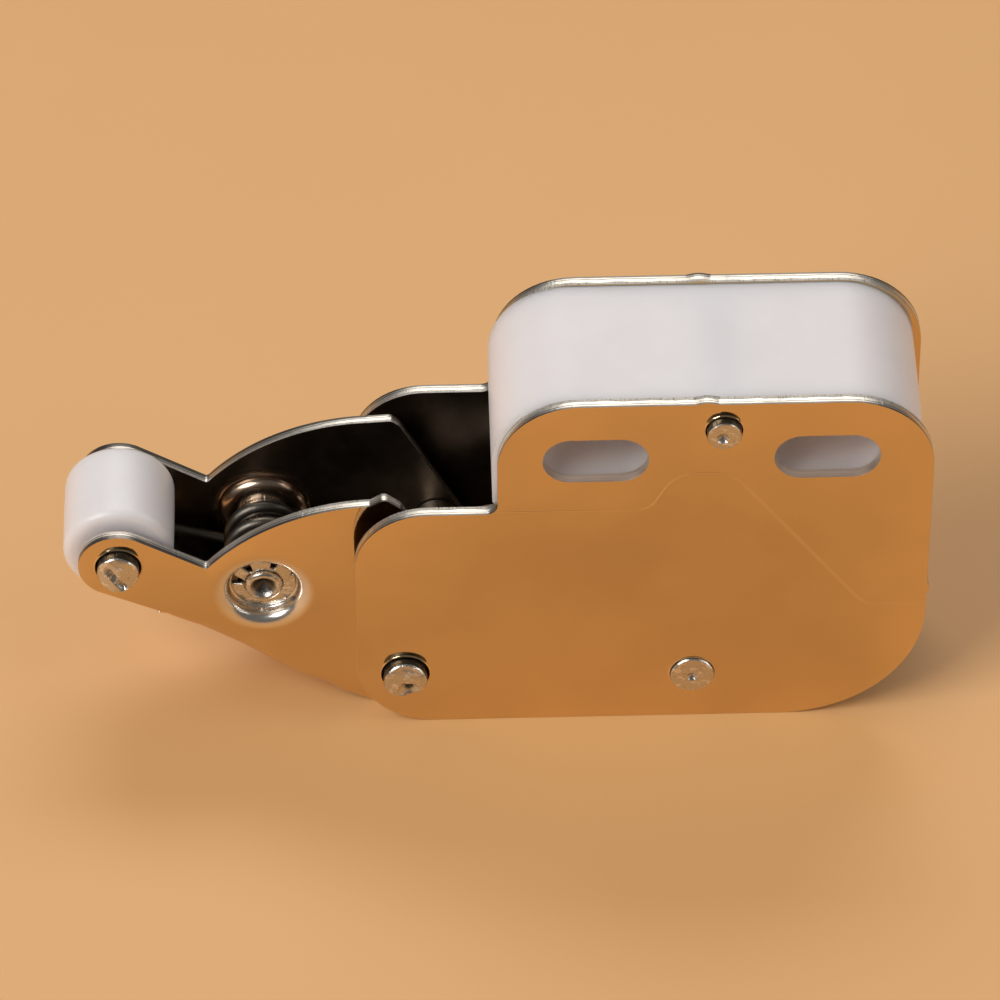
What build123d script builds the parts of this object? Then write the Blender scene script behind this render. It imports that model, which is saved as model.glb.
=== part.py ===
from build123d import *
import math
import os

# Push to open roller catch. Two stamped side plates carry a moulded nylon block and a folded
# roller arm, which swings up about the pivot pin at the lower left corner of the plates.
#
# Frame: +X runs along the body away from the roller, +Y goes through the mounting face (the
# outer face of the rear side plate) into the panel, +Z is up. The origin lies on the mounting
# face, midway between the two screw slots. Lengths are millimetres.
#
# The profiles are drawn in two flat coordinate systems, both seen from the front:
#   body profiles: x from the left edge of the side plates, y from their bottom edge
#   arm profiles:  x and y from the arm's pivot, with the arm in its open position
# and depth is given from the middle plane of the body, negative towards the front.

os.makedirs("parts", exist_ok=True)

# ---------------------------------------------------------------- side plates
body_length = 53.0
body_height = 40.0
body_depth = 17.6
plate_thickness = 1.1
step_x = 13.2
step_drop = 13.2
top_left_radius = 7.5
top_right_radius = 8.0
bottom_right_radius = 13.3
bottom_left_radius = 7.3
shoulder_radius = 6.8
step_radius = 0.8
top_nub_offset = -0.5
top_nub_width = 1.8
side_nub_height = 16.2
side_nub_width = 1.2
nub_projection = 0.25

# ---------------------------------------------------------------- screw slots
slot_spacing = 21.1
slot_middle_offset = -0.4
slot_below_top = 6.7
slot_length = 9.7
slot_width = 5.2

# ---------------------------------------------------------------- nylon block
block_side_inset = 0.8
block_top_inset = 0.15
block_step_overhang = 0.45
block_below_slots = 3.7
arch_inset = 18.5
arch_width = 5.0
arch_foot_width = 2.3
arch_rise = 4.5
arch_left_radius = 4.0
arch_right_radius = 4.5
chamber_wall = 6.0
chamber_drop = 17.2
block_edge_radius = 0.5

# ---------------------------------------------------------------- rivets of the body
top_rivet_offset = 1.05
top_rivet_below_top = 3.15
top_rivet_radius = 1.5
top_rivet_head_radius = 1.85
top_rivet_head_height = 1.0
bottom_rivet_inset = 21.6
bottom_rivet_height = 5.6
bottom_rivet_radius = 1.8
bottom_rivet_head_radius = 2.3
bottom_rivet_head_height = 0.45
bottom_sleeve_radius = 3.4
flush_head_flare = 0.5
head_edge = 0.22
punch_radius = 0.45
punch_depth = 0.4

# ---------------------------------------------------------------- arm
pivot_x = 4.5
pivot_height = 6.3
arm_width = 12.2
arm_thickness = 1.0
arm_swing = 64.0
roller_reach = 26.4
roller_rise = 12.4
arm_end_radius = 3.8
web_slope = 32.3
web_start = -22.7
web_end = -2.5
web_bend_radius = 1.2
heel_depth = 6.0
heel_radius = 6.0
notch_x = -18.25
notch_y = 11.75
brow_x = -11.4
brow_y = 17.15
horn_root_x = -2.2
horn_root_y = 19.3
horn_tip_x = -1.8
horn_tip_y = 20.0
horn_back_x = -0.15
horn_back_y = 18.65
tail_x = 6.6
tail_y = 5.5
tail_radius = 3.0
notch_radius = 0.3
heel_blend_radius = 3.0

# ---------------------------------------------------------------- pivot
pivot_pin_radius = 2.05
pivot_stub_height = 1.4
pivot_rim_radius = 2.43
washer_radius = 4.5
pivot_sleeve_radius = 3.5

# ---------------------------------------------------------------- roller
roller_radius = 5.15
roller_length = 9.4
roller_edge_radius = 1.1
roller_pin_radius = 1.95
roller_stub_height = 1.8
roller_rim_radius = 2.28
stub_facets = 6
stub_facet_height = 0.55
stub_facet_taper = 24.0
pivot_facet_turn = 10.0
roller_front_facet_turn = -12.0
roller_rear_facet_turn = 24.0

# ---------------------------------------------------------------- spring post
post_x = -13.05
post_y = 8.4
cup_mouth_radius = 4.05
cup_floor_radius = 3.5
cup_depth = 1.45
cup_floor_thickness = 0.45
cup_wall = 0.9
post_sleeve_radius = 2.4
post_pin_radius = 1.3
flange_radius = 3.35
flange_thickness = 0.4
flange_notch_width = 0.5
flange_notch_depth = 0.8
flange_notch_bearings = (64, 118, 172, 262)
post_button_radius = 1.8
post_button_height = 0.45
post_punch_radius = 1.2
post_punch_depth = 0.95

# ---------------------------------------------------------------- torsion spring
wire_radius = 0.6
coil_radius = 3.15
coil_span = 6.4
coil_turns = 3
web_leg_length = 8.8
long_leg_overhang = 3.0
long_leg_bend = 2.5

# ---------------------------------------------------------------- catch link and cam plate
link_pin_x = 3.3
link_pin_y = 7.2
link_pin_radius = 1.0
link_pin_head_radius = 1.4
link_pin_head_height = 0.35
link_length = 22.5
link_rest_angle = 13.0
link_swing = 9.0
link_thickness = 1.2
link_width = 3.6
link_depth = 2.0
link_hub_radius = 2.0
link_hub_front = -1.2
peg_radius = 0.9
peg_engagement = 1.8
cam_thickness = 3.0
track_depth = 2.2
track_clearance = 0.4
island_notch_angle = 60.0
island_notch_share = 0.5
cam_left_inset = 28.4
cam_right_inset = 10.8
cam_foot_left_inset = 26.4
cam_foot_right_inset = 16.4
cam_foot_height = 1.6
cam_corner_radius = 2.5
cam_left_drop = 4.0

# ---------------------------------------------------------------- clearances
fixed_gap = 0.02
running_gap = 0.05
washer_gap = 0.1
roller_gap = 0.06
wire_gap = 0.05
key_gap = 0.2
roof_gap = 0.5

# ---------------------------------------------------------------- derived places
half_depth = body_depth / 2
inner_face = half_depth - plate_thickness
arm_half = arm_width / 2
arm_inner = arm_half - arm_thickness
shoulder_height = body_height - step_drop
slot_middle_x = (step_x + body_length) / 2 + slot_middle_offset
top_nub_x = slot_middle_x + top_nub_offset
top_rivet_x = slot_middle_x + top_rivet_offset
bottom_rivet_x = body_length - bottom_rivet_inset
arch_right_x = body_length - arch_inset
arch_left_x = arch_right_x - arch_width
arch_left_foot_x = arch_left_x - arch_foot_width
chamber_right_x = body_length - chamber_wall
cam_left_x = body_length - cam_left_inset
cam_right_x = body_length - cam_right_inset
cam_foot_left_x = body_length - cam_foot_left_inset
cam_foot_right_x = body_length - cam_foot_right_inset
slot_height = body_height - slot_below_top
top_rivet_height = body_height - top_rivet_below_top
block_ceiling = slot_height - slot_width / 2 - block_below_slots
arch_height = block_ceiling + arch_rise
chamber_right_height = arch_height - chamber_drop
roof_slope = chamber_drop / (chamber_right_x - arch_right_x)
cam_right_height = arch_height - roof_slope * (cam_right_x - arch_right_x) - roof_gap
frame_left = -slot_middle_x
frame_bottom = -slot_height
middle_y = -half_depth
slope = math.radians(web_slope)
web_distance = arm_end_radius + roller_reach * math.sin(slope) - roller_rise * math.cos(slope)


def body_plane(depth):
    """Profile plane of the body at a depth from its middle; extrusions run towards the front."""
    origin = (frame_left, middle_y + depth, frame_bottom)
    return Plane(origin=origin, x_dir=(1, 0, 0), z_dir=(0, -1, 0))


def arm_plane(depth):
    """Profile plane of the arm, with its origin on the pivot axis."""
    origin = (frame_left + pivot_x, middle_y + depth, frame_bottom + pivot_height)
    return Plane(origin=origin, x_dir=(1, 0, 0), z_dir=(0, -1, 0))


def axis_plane(flat, x, y):
    """Plane through a pin's axis: sketch x is the radius and sketch y is the depth."""
    centre = flat(0).from_local_coords(Vector(x, y, 0))
    return Plane(origin=centre, x_dir=(1, 0, 0), z_dir=(0, 0, 1))


def pin_axis(flat, x, y):
    """Axis of a pin, from the front to the rear."""
    return Axis(flat(0).from_local_coords(Vector(x, y, 0)), (0, 1, 0))


def web_point(along, outwards):
    """Point of the arm profile, measured along the web and outwards from the pivot."""
    x = along * math.cos(slope) - outwards * math.sin(slope)
    y = -along * math.sin(slope) - outwards * math.cos(slope)
    return (x, y)


def turned(flat, x, y, profile):
    """Turned piece on the axis at x, y: profile holds its (radius, depth) points."""
    with BuildPart() as piece:
        with BuildSketch(axis_plane(flat, x, y)):
            with BuildLine():
                Polyline(*profile, close=True)
            make_face()
        revolve(axis=pin_axis(flat, x, y))
    return piece


def tube(flat, x, y, inner, outer, front, rear):
    """Plain tube or washer between two depths."""
    return turned(flat, x, y, [(inner, front), (outer, front), (outer, rear), (inner, rear)])


def save(piece, label):
    """Label a finished piece and write its STEP file."""
    piece.part.label = label
    export_step(piece.part, f"parts/{label}.step")


# ================================================================ side plates
# One blank for both plates: rounded outline with a stepped upper left corner, two screw slots,
# rivet holes, and the nubs that are left where the blank hung in its carrier strip.
def side_plate(rear, outward):
    """Side plate whose rear surface lies at a depth; outward is -1 for front and 1 for rear."""
    outline = [
        (0, 0),
        (0, shoulder_height),
        (step_x, shoulder_height),
        (step_x, body_height),
        (body_length, body_height),
        (body_length, 0),
    ]
    radii = [
        bottom_left_radius,
        shoulder_radius,
        step_radius,
        top_left_radius,
        top_right_radius,
        bottom_right_radius,
    ]
    holes = [
        (top_rivet_x, top_rivet_height, top_rivet_radius, top_rivet_radius + flush_head_flare),
        (bottom_rivet_x, bottom_rivet_height, bottom_rivet_radius, bottom_rivet_radius + flush_head_flare),
        (pivot_x, pivot_height, pivot_pin_radius, pivot_pin_radius + flush_head_flare),
    ]
    with BuildPart() as plate:
        with BuildSketch(body_plane(rear)):
            with BuildLine():
                FilletPolyline(*outline, radius=radii, close=True)
            make_face()
            with Locations((top_nub_x, body_height)):
                Ellipse(top_nub_width / 2, nub_projection)
            with Locations((body_length, side_nub_height)):
                Ellipse(nub_projection, side_nub_width / 2)
            with Locations((slot_middle_x, slot_height)):
                with GridLocations(slot_spacing, 0, 2, 1):
                    SlotOverall(slot_length, slot_width, mode=Mode.SUBTRACT)
            for x, y, radius, _ in holes:
                with Locations((x, y)):
                    Circle(radius + fixed_gap, mode=Mode.SUBTRACT)
        extrude(amount=plate_thickness)
        if outward > 0:
            for x, y, radius, flare in holes:
                with BuildSketch(axis_plane(body_plane, x, y)):
                    with BuildLine():
                        Polyline(
                            (radius - flush_head_flare, half_depth - (flare - radius) - flush_head_flare),
                            (flare + fixed_gap, half_depth),
                            (0, half_depth),
                            (0, half_depth - (flare - radius) - flush_head_flare),
                            close=True,
                        )
                    make_face()
                revolve(axis=pin_axis(body_plane, x, y), mode=Mode.SUBTRACT)
        else:
            with BuildSketch(axis_plane(body_plane, pivot_x, pivot_height)):
                rim_depth = pivot_rim_radius - pivot_pin_radius - fixed_gap
                with BuildLine():
                    Polyline(
                        (0, -half_depth),
                        (pivot_rim_radius, -half_depth),
                        (pivot_pin_radius + fixed_gap, -half_depth + rim_depth),
                        (0, -half_depth + rim_depth),
                        close=True,
                    )
                make_face()
            revolve(axis=pin_axis(body_plane, pivot_x, pivot_height), mode=Mode.SUBTRACT)
    return plate


front_side_plate = side_plate(-inner_face, -1)
rear_side_plate = side_plate(half_depth, 1)
save(front_side_plate, "front_side_plate")
save(rear_side_plate, "rear_side_plate")

# ================================================================ nylon block
# The block fills the upper right between the plates. Its underside is the roof of the latch
# chamber, with an arch over the cam plate, and the screw slots run right through it.
block_left = step_x - block_step_overhang
block_right = body_length - block_side_inset
block_top = body_height - block_top_inset
with BuildPart() as spacer_block:
    with BuildSketch(body_plane(inner_face)):
        with BuildLine():
            FilletPolyline(
                (block_left, block_ceiling),
                (block_left, block_top),
                (block_right, block_top),
                (block_right, chamber_right_height),
                (chamber_right_x, chamber_right_height),
                (arch_right_x, arch_height),
                (arch_left_x, arch_height),
                (arch_left_foot_x, block_ceiling),
                radius=[
                    block_edge_radius,
                    top_left_radius,
                    top_right_radius - block_side_inset,
                    block_edge_radius,
                    block_edge_radius,
                    arch_right_radius,
                    arch_left_radius,
                    block_edge_radius,
                ],
                close=True,
            )
        make_face()
        with Locations((slot_middle_x, slot_height)):
            with GridLocations(slot_spacing, 0, 2, 1):
                SlotOverall(slot_length, slot_width, mode=Mode.SUBTRACT)
        with Locations((top_rivet_x, top_rivet_height)):
            Circle(top_rivet_radius + running_gap, mode=Mode.SUBTRACT)
    extrude(amount=2 * inner_face)
save(spacer_block, "spacer_block")


# ================================================================ rivets and pins of the body
def body_rivet(x, y, radius, head_radius, head_height):
    """Rivet with a raised head on the front plate and a flush flared head in the rear plate."""
    front = -half_depth - head_height
    rivet = turned(
        body_plane,
        x,
        y,
        [
            (0, front + punch_depth),
            (punch_radius, front),
            (head_radius - head_edge, front),
            (head_radius, front + head_edge),
            (head_radius, -half_depth),
            (radius, -half_depth),
            (radius, half_depth - flush_head_flare),
            (radius + flush_head_flare, half_depth),
            (0, half_depth),
        ],
    )
    return rivet


top_rivet = body_rivet(
    top_rivet_x, top_rivet_height, top_rivet_radius, top_rivet_head_radius, top_rivet_head_height
)
save(top_rivet, "top_rivet")

bottom_rivet = body_rivet(
    bottom_rivet_x,
    bottom_rivet_height,
    bottom_rivet_radius,
    bottom_rivet_head_radius,
    bottom_rivet_head_height,
)
save(bottom_rivet, "bottom_rivet")

bottom_spacer_sleeve = tube(
    body_plane,
    bottom_rivet_x,
    bottom_rivet_height,
    bottom_rivet_radius + running_gap,
    bottom_sleeve_radius,
    -inner_face,
    inner_face,
)
save(bottom_spacer_sleeve, "bottom_spacer_sleeve")

# The pivot pin stands proud of the front plate with a faceted, peened end.
with BuildPart() as pivot_pin:
    stub_face = half_depth + pivot_stub_height
    with BuildSketch(arm_plane(half_depth)):
        Circle(pivot_pin_radius)
    extrude(amount=half_depth + stub_face - stub_facet_height)
    with BuildSketch(arm_plane(stub_facet_height - stub_face)):
        RegularPolygon(pivot_pin_radius, stub_facets, rotation=pivot_facet_turn)
    extrude(amount=stub_facet_height, taper=stub_facet_taper)
    with BuildSketch(axis_plane(arm_plane, 0, 0)):
        with BuildLine():
            Polyline(
                (0, half_depth - flush_head_flare),
                (pivot_pin_radius, half_depth - flush_head_flare),
                (pivot_pin_radius + flush_head_flare, half_depth),
                (0, half_depth),
                close=True,
            )
        make_face()
    revolve(axis=pin_axis(arm_plane, 0, 0))
save(pivot_pin, "pivot_pin")

# Washers centre the arm between the plates, and a sleeve keeps its cheeks apart.
for label, side in (("front_pivot_washer", -1), ("rear_pivot_washer", 1)):
    ends = sorted((side * (arm_half + washer_gap), side * inner_face))
    washer = tube(arm_plane, 0, 0, pivot_pin_radius + running_gap, washer_radius, *ends)
    save(washer, label)

pivot_sleeve = tube(
    arm_plane,
    0,
    0,
    pivot_pin_radius + running_gap,
    pivot_sleeve_radius,
    -arm_inner,
    arm_inner,
)
save(pivot_sleeve, "pivot_sleeve")

# ================================================================ roller arm
# One folded strip: two cheeks joined by a web along their lower edge. The rear half is drawn
# and mirrored. Each cheek has a V notch for the strike, a horn at the end of the brow, and a
# cup pressed inwards where the spring post is riveted.
roller_centre = (-roller_reach, roller_rise)
notch_to_centre = math.hypot(notch_x + roller_reach, notch_y - roller_rise)
centre_bearing = math.atan2(roller_rise - notch_y, -roller_reach - notch_x)
flank_bearing = centre_bearing - math.asin(arm_end_radius / notch_to_centre)
flank_length = math.sqrt(notch_to_centre**2 - arm_end_radius**2)
flank_end = (
    notch_x + flank_length * math.cos(flank_bearing),
    notch_y + flank_length * math.sin(flank_bearing),
)
roller_along = -roller_reach * math.cos(slope) - roller_rise * math.sin(slope)
end_bearing = (flank_bearing + math.pi / 2 - math.pi + math.pi * 1.5 - slope) / 2
end_middle = (
    roller_centre[0] + arm_end_radius * math.cos(end_bearing),
    roller_centre[1] + arm_end_radius * math.sin(end_bearing),
)
heel_corner_along = (heel_depth - web_distance * math.cos(slope)) / math.sin(slope)
heel_corner = web_point(heel_corner_along, web_distance)

with BuildPart() as latch_arm:
    with BuildSketch(arm_plane(arm_half)) as cheek:
        with BuildLine():
            Polyline(
                web_point(roller_along, web_distance),
                web_point(web_start, web_distance),
                web_point(web_start, web_distance - web_bend_radius),
                web_point(web_end, web_distance - web_bend_radius),
                web_point(web_end, web_distance),
                heel_corner,
                (0, -heel_depth),
            )
            ThreePointArc(
                (0, -heel_depth),
                (heel_radius * math.sin(math.pi / 4), -heel_radius * math.cos(math.pi / 4)),
                (heel_radius, 0),
            )
            Polyline(
                (heel_radius, 0),
                (tail_x, tail_y),
                (horn_back_x, horn_back_y),
                (horn_tip_x, horn_tip_y),
                (horn_root_x, horn_root_y),
            )
            ThreePointArc((horn_root_x, horn_root_y), (brow_x, brow_y), (notch_x, notch_y))
            Line((notch_x, notch_y), flank_end)
            ThreePointArc(flank_end, end_middle, web_point(roller_along, web_distance))
        make_face()
        fillet(cheek.vertices().sort_by_distance((notch_x, notch_y))[0], notch_radius)
        fillet(cheek.vertices().sort_by_distance((tail_x, tail_y))[0], tail_radius)
        fillet(cheek.vertices().sort_by_distance(heel_corner)[0], heel_blend_radius)
        Circle(pivot_pin_radius + running_gap, mode=Mode.SUBTRACT)
        with Locations(roller_centre):
            Circle(roller_pin_radius + fixed_gap, mode=Mode.SUBTRACT)
        with Locations((link_pin_x, link_pin_y)):
            Circle(link_pin_radius + fixed_gap, mode=Mode.SUBTRACT)
    extrude(amount=arm_thickness)

    # Cup for the spring post: a boss on the inside, dished from the outside, with a pierced floor.
    boss_end = arm_half - cup_depth - cup_floor_thickness
    with BuildSketch(axis_plane(arm_plane, post_x, post_y)):
        with BuildLine():
            Polyline(
                (0, boss_end),
                (cup_floor_radius + cup_wall, boss_end),
                (cup_mouth_radius + cup_wall, arm_inner),
                (0, arm_inner),
                close=True,
            )
        make_face()
    revolve(axis=pin_axis(arm_plane, post_x, post_y))
    with BuildSketch(axis_plane(arm_plane, post_x, post_y)):
        with BuildLine():
            Polyline(
                (0, boss_end),
                (post_sleeve_radius + fixed_gap, boss_end),
                (post_sleeve_radius + fixed_gap, arm_half - cup_depth),
                (cup_floor_radius, arm_half - cup_depth),
                (cup_mouth_radius, arm_half),
                (0, arm_half),
                close=True,
            )
        make_face()
    revolve(axis=pin_axis(arm_plane, post_x, post_y), mode=Mode.SUBTRACT)

    # Shallow coined rim round the roller pin.
    with BuildSketch(axis_plane(arm_plane, *roller_centre)):
        with BuildLine():
            Polyline(
                (0, arm_half),
                (roller_rim_radius, arm_half),
                (roller_pin_radius + fixed_gap, arm_half - roller_rim_radius + roller_pin_radius),
                (0, arm_half - roller_rim_radius + roller_pin_radius),
                close=True,
            )
        make_face()
    revolve(axis=pin_axis(arm_plane, *roller_centre), mode=Mode.SUBTRACT)

    # Half of the web with its bend, drawn in section and drawn out along the web.
    start_x, start_y = web_point(web_start, web_distance)
    web_origin = arm_plane(0).from_local_coords(Vector(start_x, start_y, 0))
    web_direction = (math.cos(slope), 0, -math.sin(slope))
    with BuildSketch(Plane(origin=web_origin, x_dir=(0, 1, 0), z_dir=web_direction)):
        with BuildLine():
            Line((0, 0), (arm_half - web_bend_radius, 0))
            TangentArc(
                (arm_half - web_bend_radius, 0), (arm_half, web_bend_radius), tangent=(1, 0)
            )
            Line((arm_half, web_bend_radius), (arm_inner, web_bend_radius))
            TangentArc(
                (arm_inner, web_bend_radius),
                (arm_half - web_bend_radius, arm_thickness),
                tangent=(0, -1),
            )
            Polyline((arm_half - web_bend_radius, arm_thickness), (0, arm_thickness), (0, 0))
        make_face()
    extrude(amount=web_end - web_start)
    mirror(about=body_plane(0))
save(latch_arm, "latch_arm")

# ================================================================ roller
with BuildPart() as roller:
    with BuildSketch(arm_plane(roller_length / 2)):
        with Locations(roller_centre):
            Circle(roller_radius)
            Circle(roller_pin_radius + roller_gap, mode=Mode.SUBTRACT)
    extrude(amount=roller_length)
    rims = roller.edges().filter_by(GeomType.CIRCLE).sort_by(SortBy.RADIUS)[-2:]
    fillet(rims, roller_edge_radius)
save(roller, "roller")

with BuildPart() as roller_pin:
    stub_face = arm_half + roller_stub_height
    with BuildSketch(arm_plane(stub_face - stub_facet_height)):
        with Locations(roller_centre):
            Circle(roller_pin_radius)
    extrude(amount=2 * (stub_face - stub_facet_height))
    with BuildSketch(arm_plane(stub_facet_height - stub_face)):
        with Locations(roller_centre):
            RegularPolygon(roller_pin_radius, stub_facets, rotation=roller_front_facet_turn)
    extrude(amount=stub_facet_height, taper=stub_facet_taper)
    with BuildSketch(arm_plane(stub_face - stub_facet_height)):
        with Locations(roller_centre):
            RegularPolygon(roller_pin_radius, stub_facets, rotation=roller_rear_facet_turn)
    extrude(amount=-stub_facet_height, taper=stub_facet_taper)
save(roller_pin, "roller_pin")

# ================================================================ spring post
# A tube whose ends are split and flared over the floors of the cups, with a solid core pin.
flange_floor = arm_half - cup_depth
flange_face = flange_floor + flange_thickness
with BuildPart() as spring_post_sleeve:
    with BuildSketch(arm_plane(flange_face)):
        with Locations((post_x, post_y)):
            Circle(flange_radius)
    extrude(amount=flange_thickness)
    with BuildSketch(arm_plane(-flange_floor)):
        with Locations((post_x, post_y)):
            Circle(flange_radius)
    extrude(amount=flange_thickness)
    with BuildSketch(arm_plane(flange_face)):
        with Locations((post_x, post_y)):
            for bearing in flange_notch_bearings:
                with PolarLocations(flange_radius, 1, start_angle=bearing):
                    Rectangle(2 * flange_notch_depth, flange_notch_width)
    extrude(amount=2 * flange_face, mode=Mode.SUBTRACT)
    with BuildSketch(arm_plane(flange_floor)):
        with Locations((post_x, post_y)):
            Circle(post_sleeve_radius)
    extrude(amount=2 * flange_floor)
    with BuildSketch(arm_plane(flange_face)):
        with Locations((post_x, post_y)):
            Circle(post_pin_radius + fixed_gap)
    extrude(amount=2 * flange_face, mode=Mode.SUBTRACT)
save(spring_post_sleeve, "spring_post_sleeve")

post_face = flange_face + post_button_height
post_half_profile = [
    (post_pin_radius, flange_face),
    (post_button_radius, flange_face),
    (post_button_radius, post_face - head_edge),
    (post_button_radius - head_edge, post_face),
    (post_punch_radius, post_face),
    (0, post_face - post_punch_depth),
]
spring_post_pin = turned(
    arm_plane,
    post_x,
    post_y,
    [(radius, depth) for radius, depth in post_half_profile]
    + [(radius, -depth) for radius, depth in reversed(post_half_profile)],
)
save(spring_post_pin, "spring_post_pin")

# ================================================================ torsion spring
# Close wound round the post. The short leg runs out to the roller end of the web; the long leg
# passes over the pivot sleeve and bears on top of the bottom spacer sleeve.
sleeve_x = bottom_rivet_x - pivot_x - post_x
sleeve_y = bottom_rivet_height - pivot_height - post_y
sleeve_distance = math.hypot(sleeve_x, sleeve_y)
bearing_reach = coil_radius + bottom_sleeve_radius + wire_radius + wire_gap
long_leg_slope = -math.atan2(sleeve_y, sleeve_x) - math.asin(bearing_reach / sleeve_distance)
long_leg_length = math.sqrt(sleeve_distance**2 - bearing_reach**2) + long_leg_overhang
web_reach = math.hypot(coil_radius, web_leg_length)
web_rise = web_distance - arm_thickness - wire_radius - wire_gap
web_rise += post_x * math.sin(slope) + post_y * math.cos(slope)
short_slope = slope - math.atan2(web_leg_length, coil_radius) + math.acos(web_rise / web_reach)
start_bearing = -math.pi / 2 - short_slope
wound_angle = 2 * math.pi * coil_turns - long_leg_slope + short_slope
coil_pitch = coil_span / wound_angle * 2 * math.pi
post_centre = arm_plane(coil_span / 2).from_local_coords(Vector(post_x, post_y, 0))
coil_plane = Plane(
    origin=post_centre,
    x_dir=(math.cos(start_bearing), 0, math.sin(start_bearing)),
    z_dir=(0, -1, 0),
)
coil = coil_plane * Helix(coil_pitch, coil_span, coil_radius)
with BuildPart() as torsion_spring:
    with BuildLine() as spring_path:
        add(coil)
        short_leg_end = coil @ 0 - (coil % 0) * web_leg_length
        Line(short_leg_end, coil @ 0)
        leg_direction = Vector(math.cos(long_leg_slope), 0, -math.sin(long_leg_slope))
        bend_end = coil @ 1 + (coil % 1 + leg_direction) * (long_leg_bend / 2)
        Spline(coil @ 1, bend_end, tangents=(coil % 1, leg_direction))
        Line(bend_end, bend_end + leg_direction * (long_leg_length - long_leg_bend))
    with BuildSketch(Plane(origin=short_leg_end, z_dir=coil % 0)):
        Circle(wire_radius)
    sweep(path=spring_path.wire())
save(torsion_spring, "torsion_spring")


# ================================================================ catch link
# A strip with a hub on the link pin and a follower peg that reaches into the cam track.
def peg_place(swing):
    """Place of the follower peg in the arm profile when the arm has swung by an angle."""
    start = math.atan2(link_pin_y, link_pin_x) - math.radians(swing)
    reach = math.hypot(link_pin_x, link_pin_y)
    link_angle = math.radians(link_rest_angle + link_swing * swing / arm_swing)
    x = reach * math.cos(start) + link_length * math.cos(link_angle)
    y = reach * math.sin(start) + link_length * math.sin(link_angle)
    return (x, y)


peg_rest = peg_place(0)
link_middle = ((link_pin_x + peg_rest[0]) / 2, (link_pin_y + peg_rest[1]) / 2)
cam_face = inner_face - cam_thickness
with BuildPart() as catch_link:
    with BuildSketch(arm_plane(link_depth + link_thickness)):
        with Locations(Location(link_middle, link_rest_angle)):
            SlotCenterToCenter(link_length, link_width)
    extrude(amount=link_thickness)
    with BuildSketch(arm_plane(arm_inner - washer_gap)):
        with Locations((link_pin_x, link_pin_y)):
            Circle(link_hub_radius)
    extrude(amount=arm_inner - washer_gap - link_hub_front)
    with BuildSketch(arm_plane(arm_inner - washer_gap)):
        with Locations((link_pin_x, link_pin_y)):
            Circle(link_pin_radius + running_gap)
    extrude(amount=arm_inner - washer_gap - link_hub_front, mode=Mode.SUBTRACT)
    with BuildSketch(arm_plane(cam_face + peg_engagement)):
        with Locations(peg_rest):
            Circle(peg_radius)
    extrude(amount=cam_face + peg_engagement - link_depth)
save(catch_link, "catch_link")

link_pin = turned(
    arm_plane,
    link_pin_x,
    link_pin_y,
    [
        (0, -arm_half - link_pin_head_height),
        (link_pin_head_radius, -arm_half - link_pin_head_height),
        (link_pin_head_radius, -arm_half),
        (link_pin_radius, -arm_half),
        (link_pin_radius, arm_half),
        (link_pin_head_radius, arm_half),
        (link_pin_head_radius, arm_half + link_pin_head_height),
        (0, arm_half + link_pin_head_height),
    ],
)
save(link_pin, "link_pin")

# ================================================================ cam plate
# Moulded plate against the rear side plate. It is keyed under the arch of the block and held by
# the bottom spacer sleeve. The follower peg travels round the heart-shaped island of its track.
track_points = [peg_place(swing) for swing in (0, arm_swing / 2, arm_swing)]
with BuildLine(mode=Mode.PRIVATE):
    peg_arc = ThreePointArc(*track_points)
track_centre = peg_arc.arc_center
track_radius = peg_arc.radius
island_radius = track_radius - peg_radius - track_clearance
with BuildPart() as cam_plate:
    with BuildSketch(body_plane(inner_face)):
        with BuildLine():
            FilletPolyline(
                (cam_left_x, track_centre.Y + pivot_height),
                (cam_left_x, block_ceiling - cam_left_drop),
                (arch_left_foot_x + key_gap, block_ceiling),
                (arch_left_x + key_gap, arch_height - key_gap),
                (arch_right_x - key_gap, arch_height - key_gap),
                (cam_right_x, cam_right_height),
                (cam_foot_right_x, cam_foot_height),
                (cam_foot_left_x, cam_foot_height),
                radius=[
                    cam_corner_radius,
                    cam_corner_radius / 2,
                    block_edge_radius,
                    arch_left_radius - key_gap,
                    arch_right_radius - key_gap,
                    cam_corner_radius,
                    cam_corner_radius,
                    cam_corner_radius,
                ],
                close=True,
            )
        make_face()
        with Locations((bottom_rivet_x, bottom_rivet_height)):
            Circle(bottom_sleeve_radius + running_gap, mode=Mode.SUBTRACT)
    extrude(amount=cam_thickness)
    with BuildSketch(arm_plane(cam_face + track_depth)):
        with Locations((track_centre.X, track_centre.Y)):
            Circle(track_radius + peg_radius + track_clearance)
            Circle(island_radius, mode=Mode.SUBTRACT)
            with PolarLocations(island_radius, 1, start_angle=island_notch_angle + 180):
                RegularPolygon(island_radius * island_notch_share, 3, rotation=180)
    extrude(amount=track_depth, mode=Mode.SUBTRACT)
save(cam_plate, "cam_plate")
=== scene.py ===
import math

import bmesh
import bpy
from bpy.props import FloatProperty, FloatVectorProperty, IntProperty, PointerProperty
from bpy.types import Operator, Panel, PropertyGroup
from mathutils import Matrix, Vector, noise
from mathutils.geometry import delaunay_2d_cdt


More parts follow.
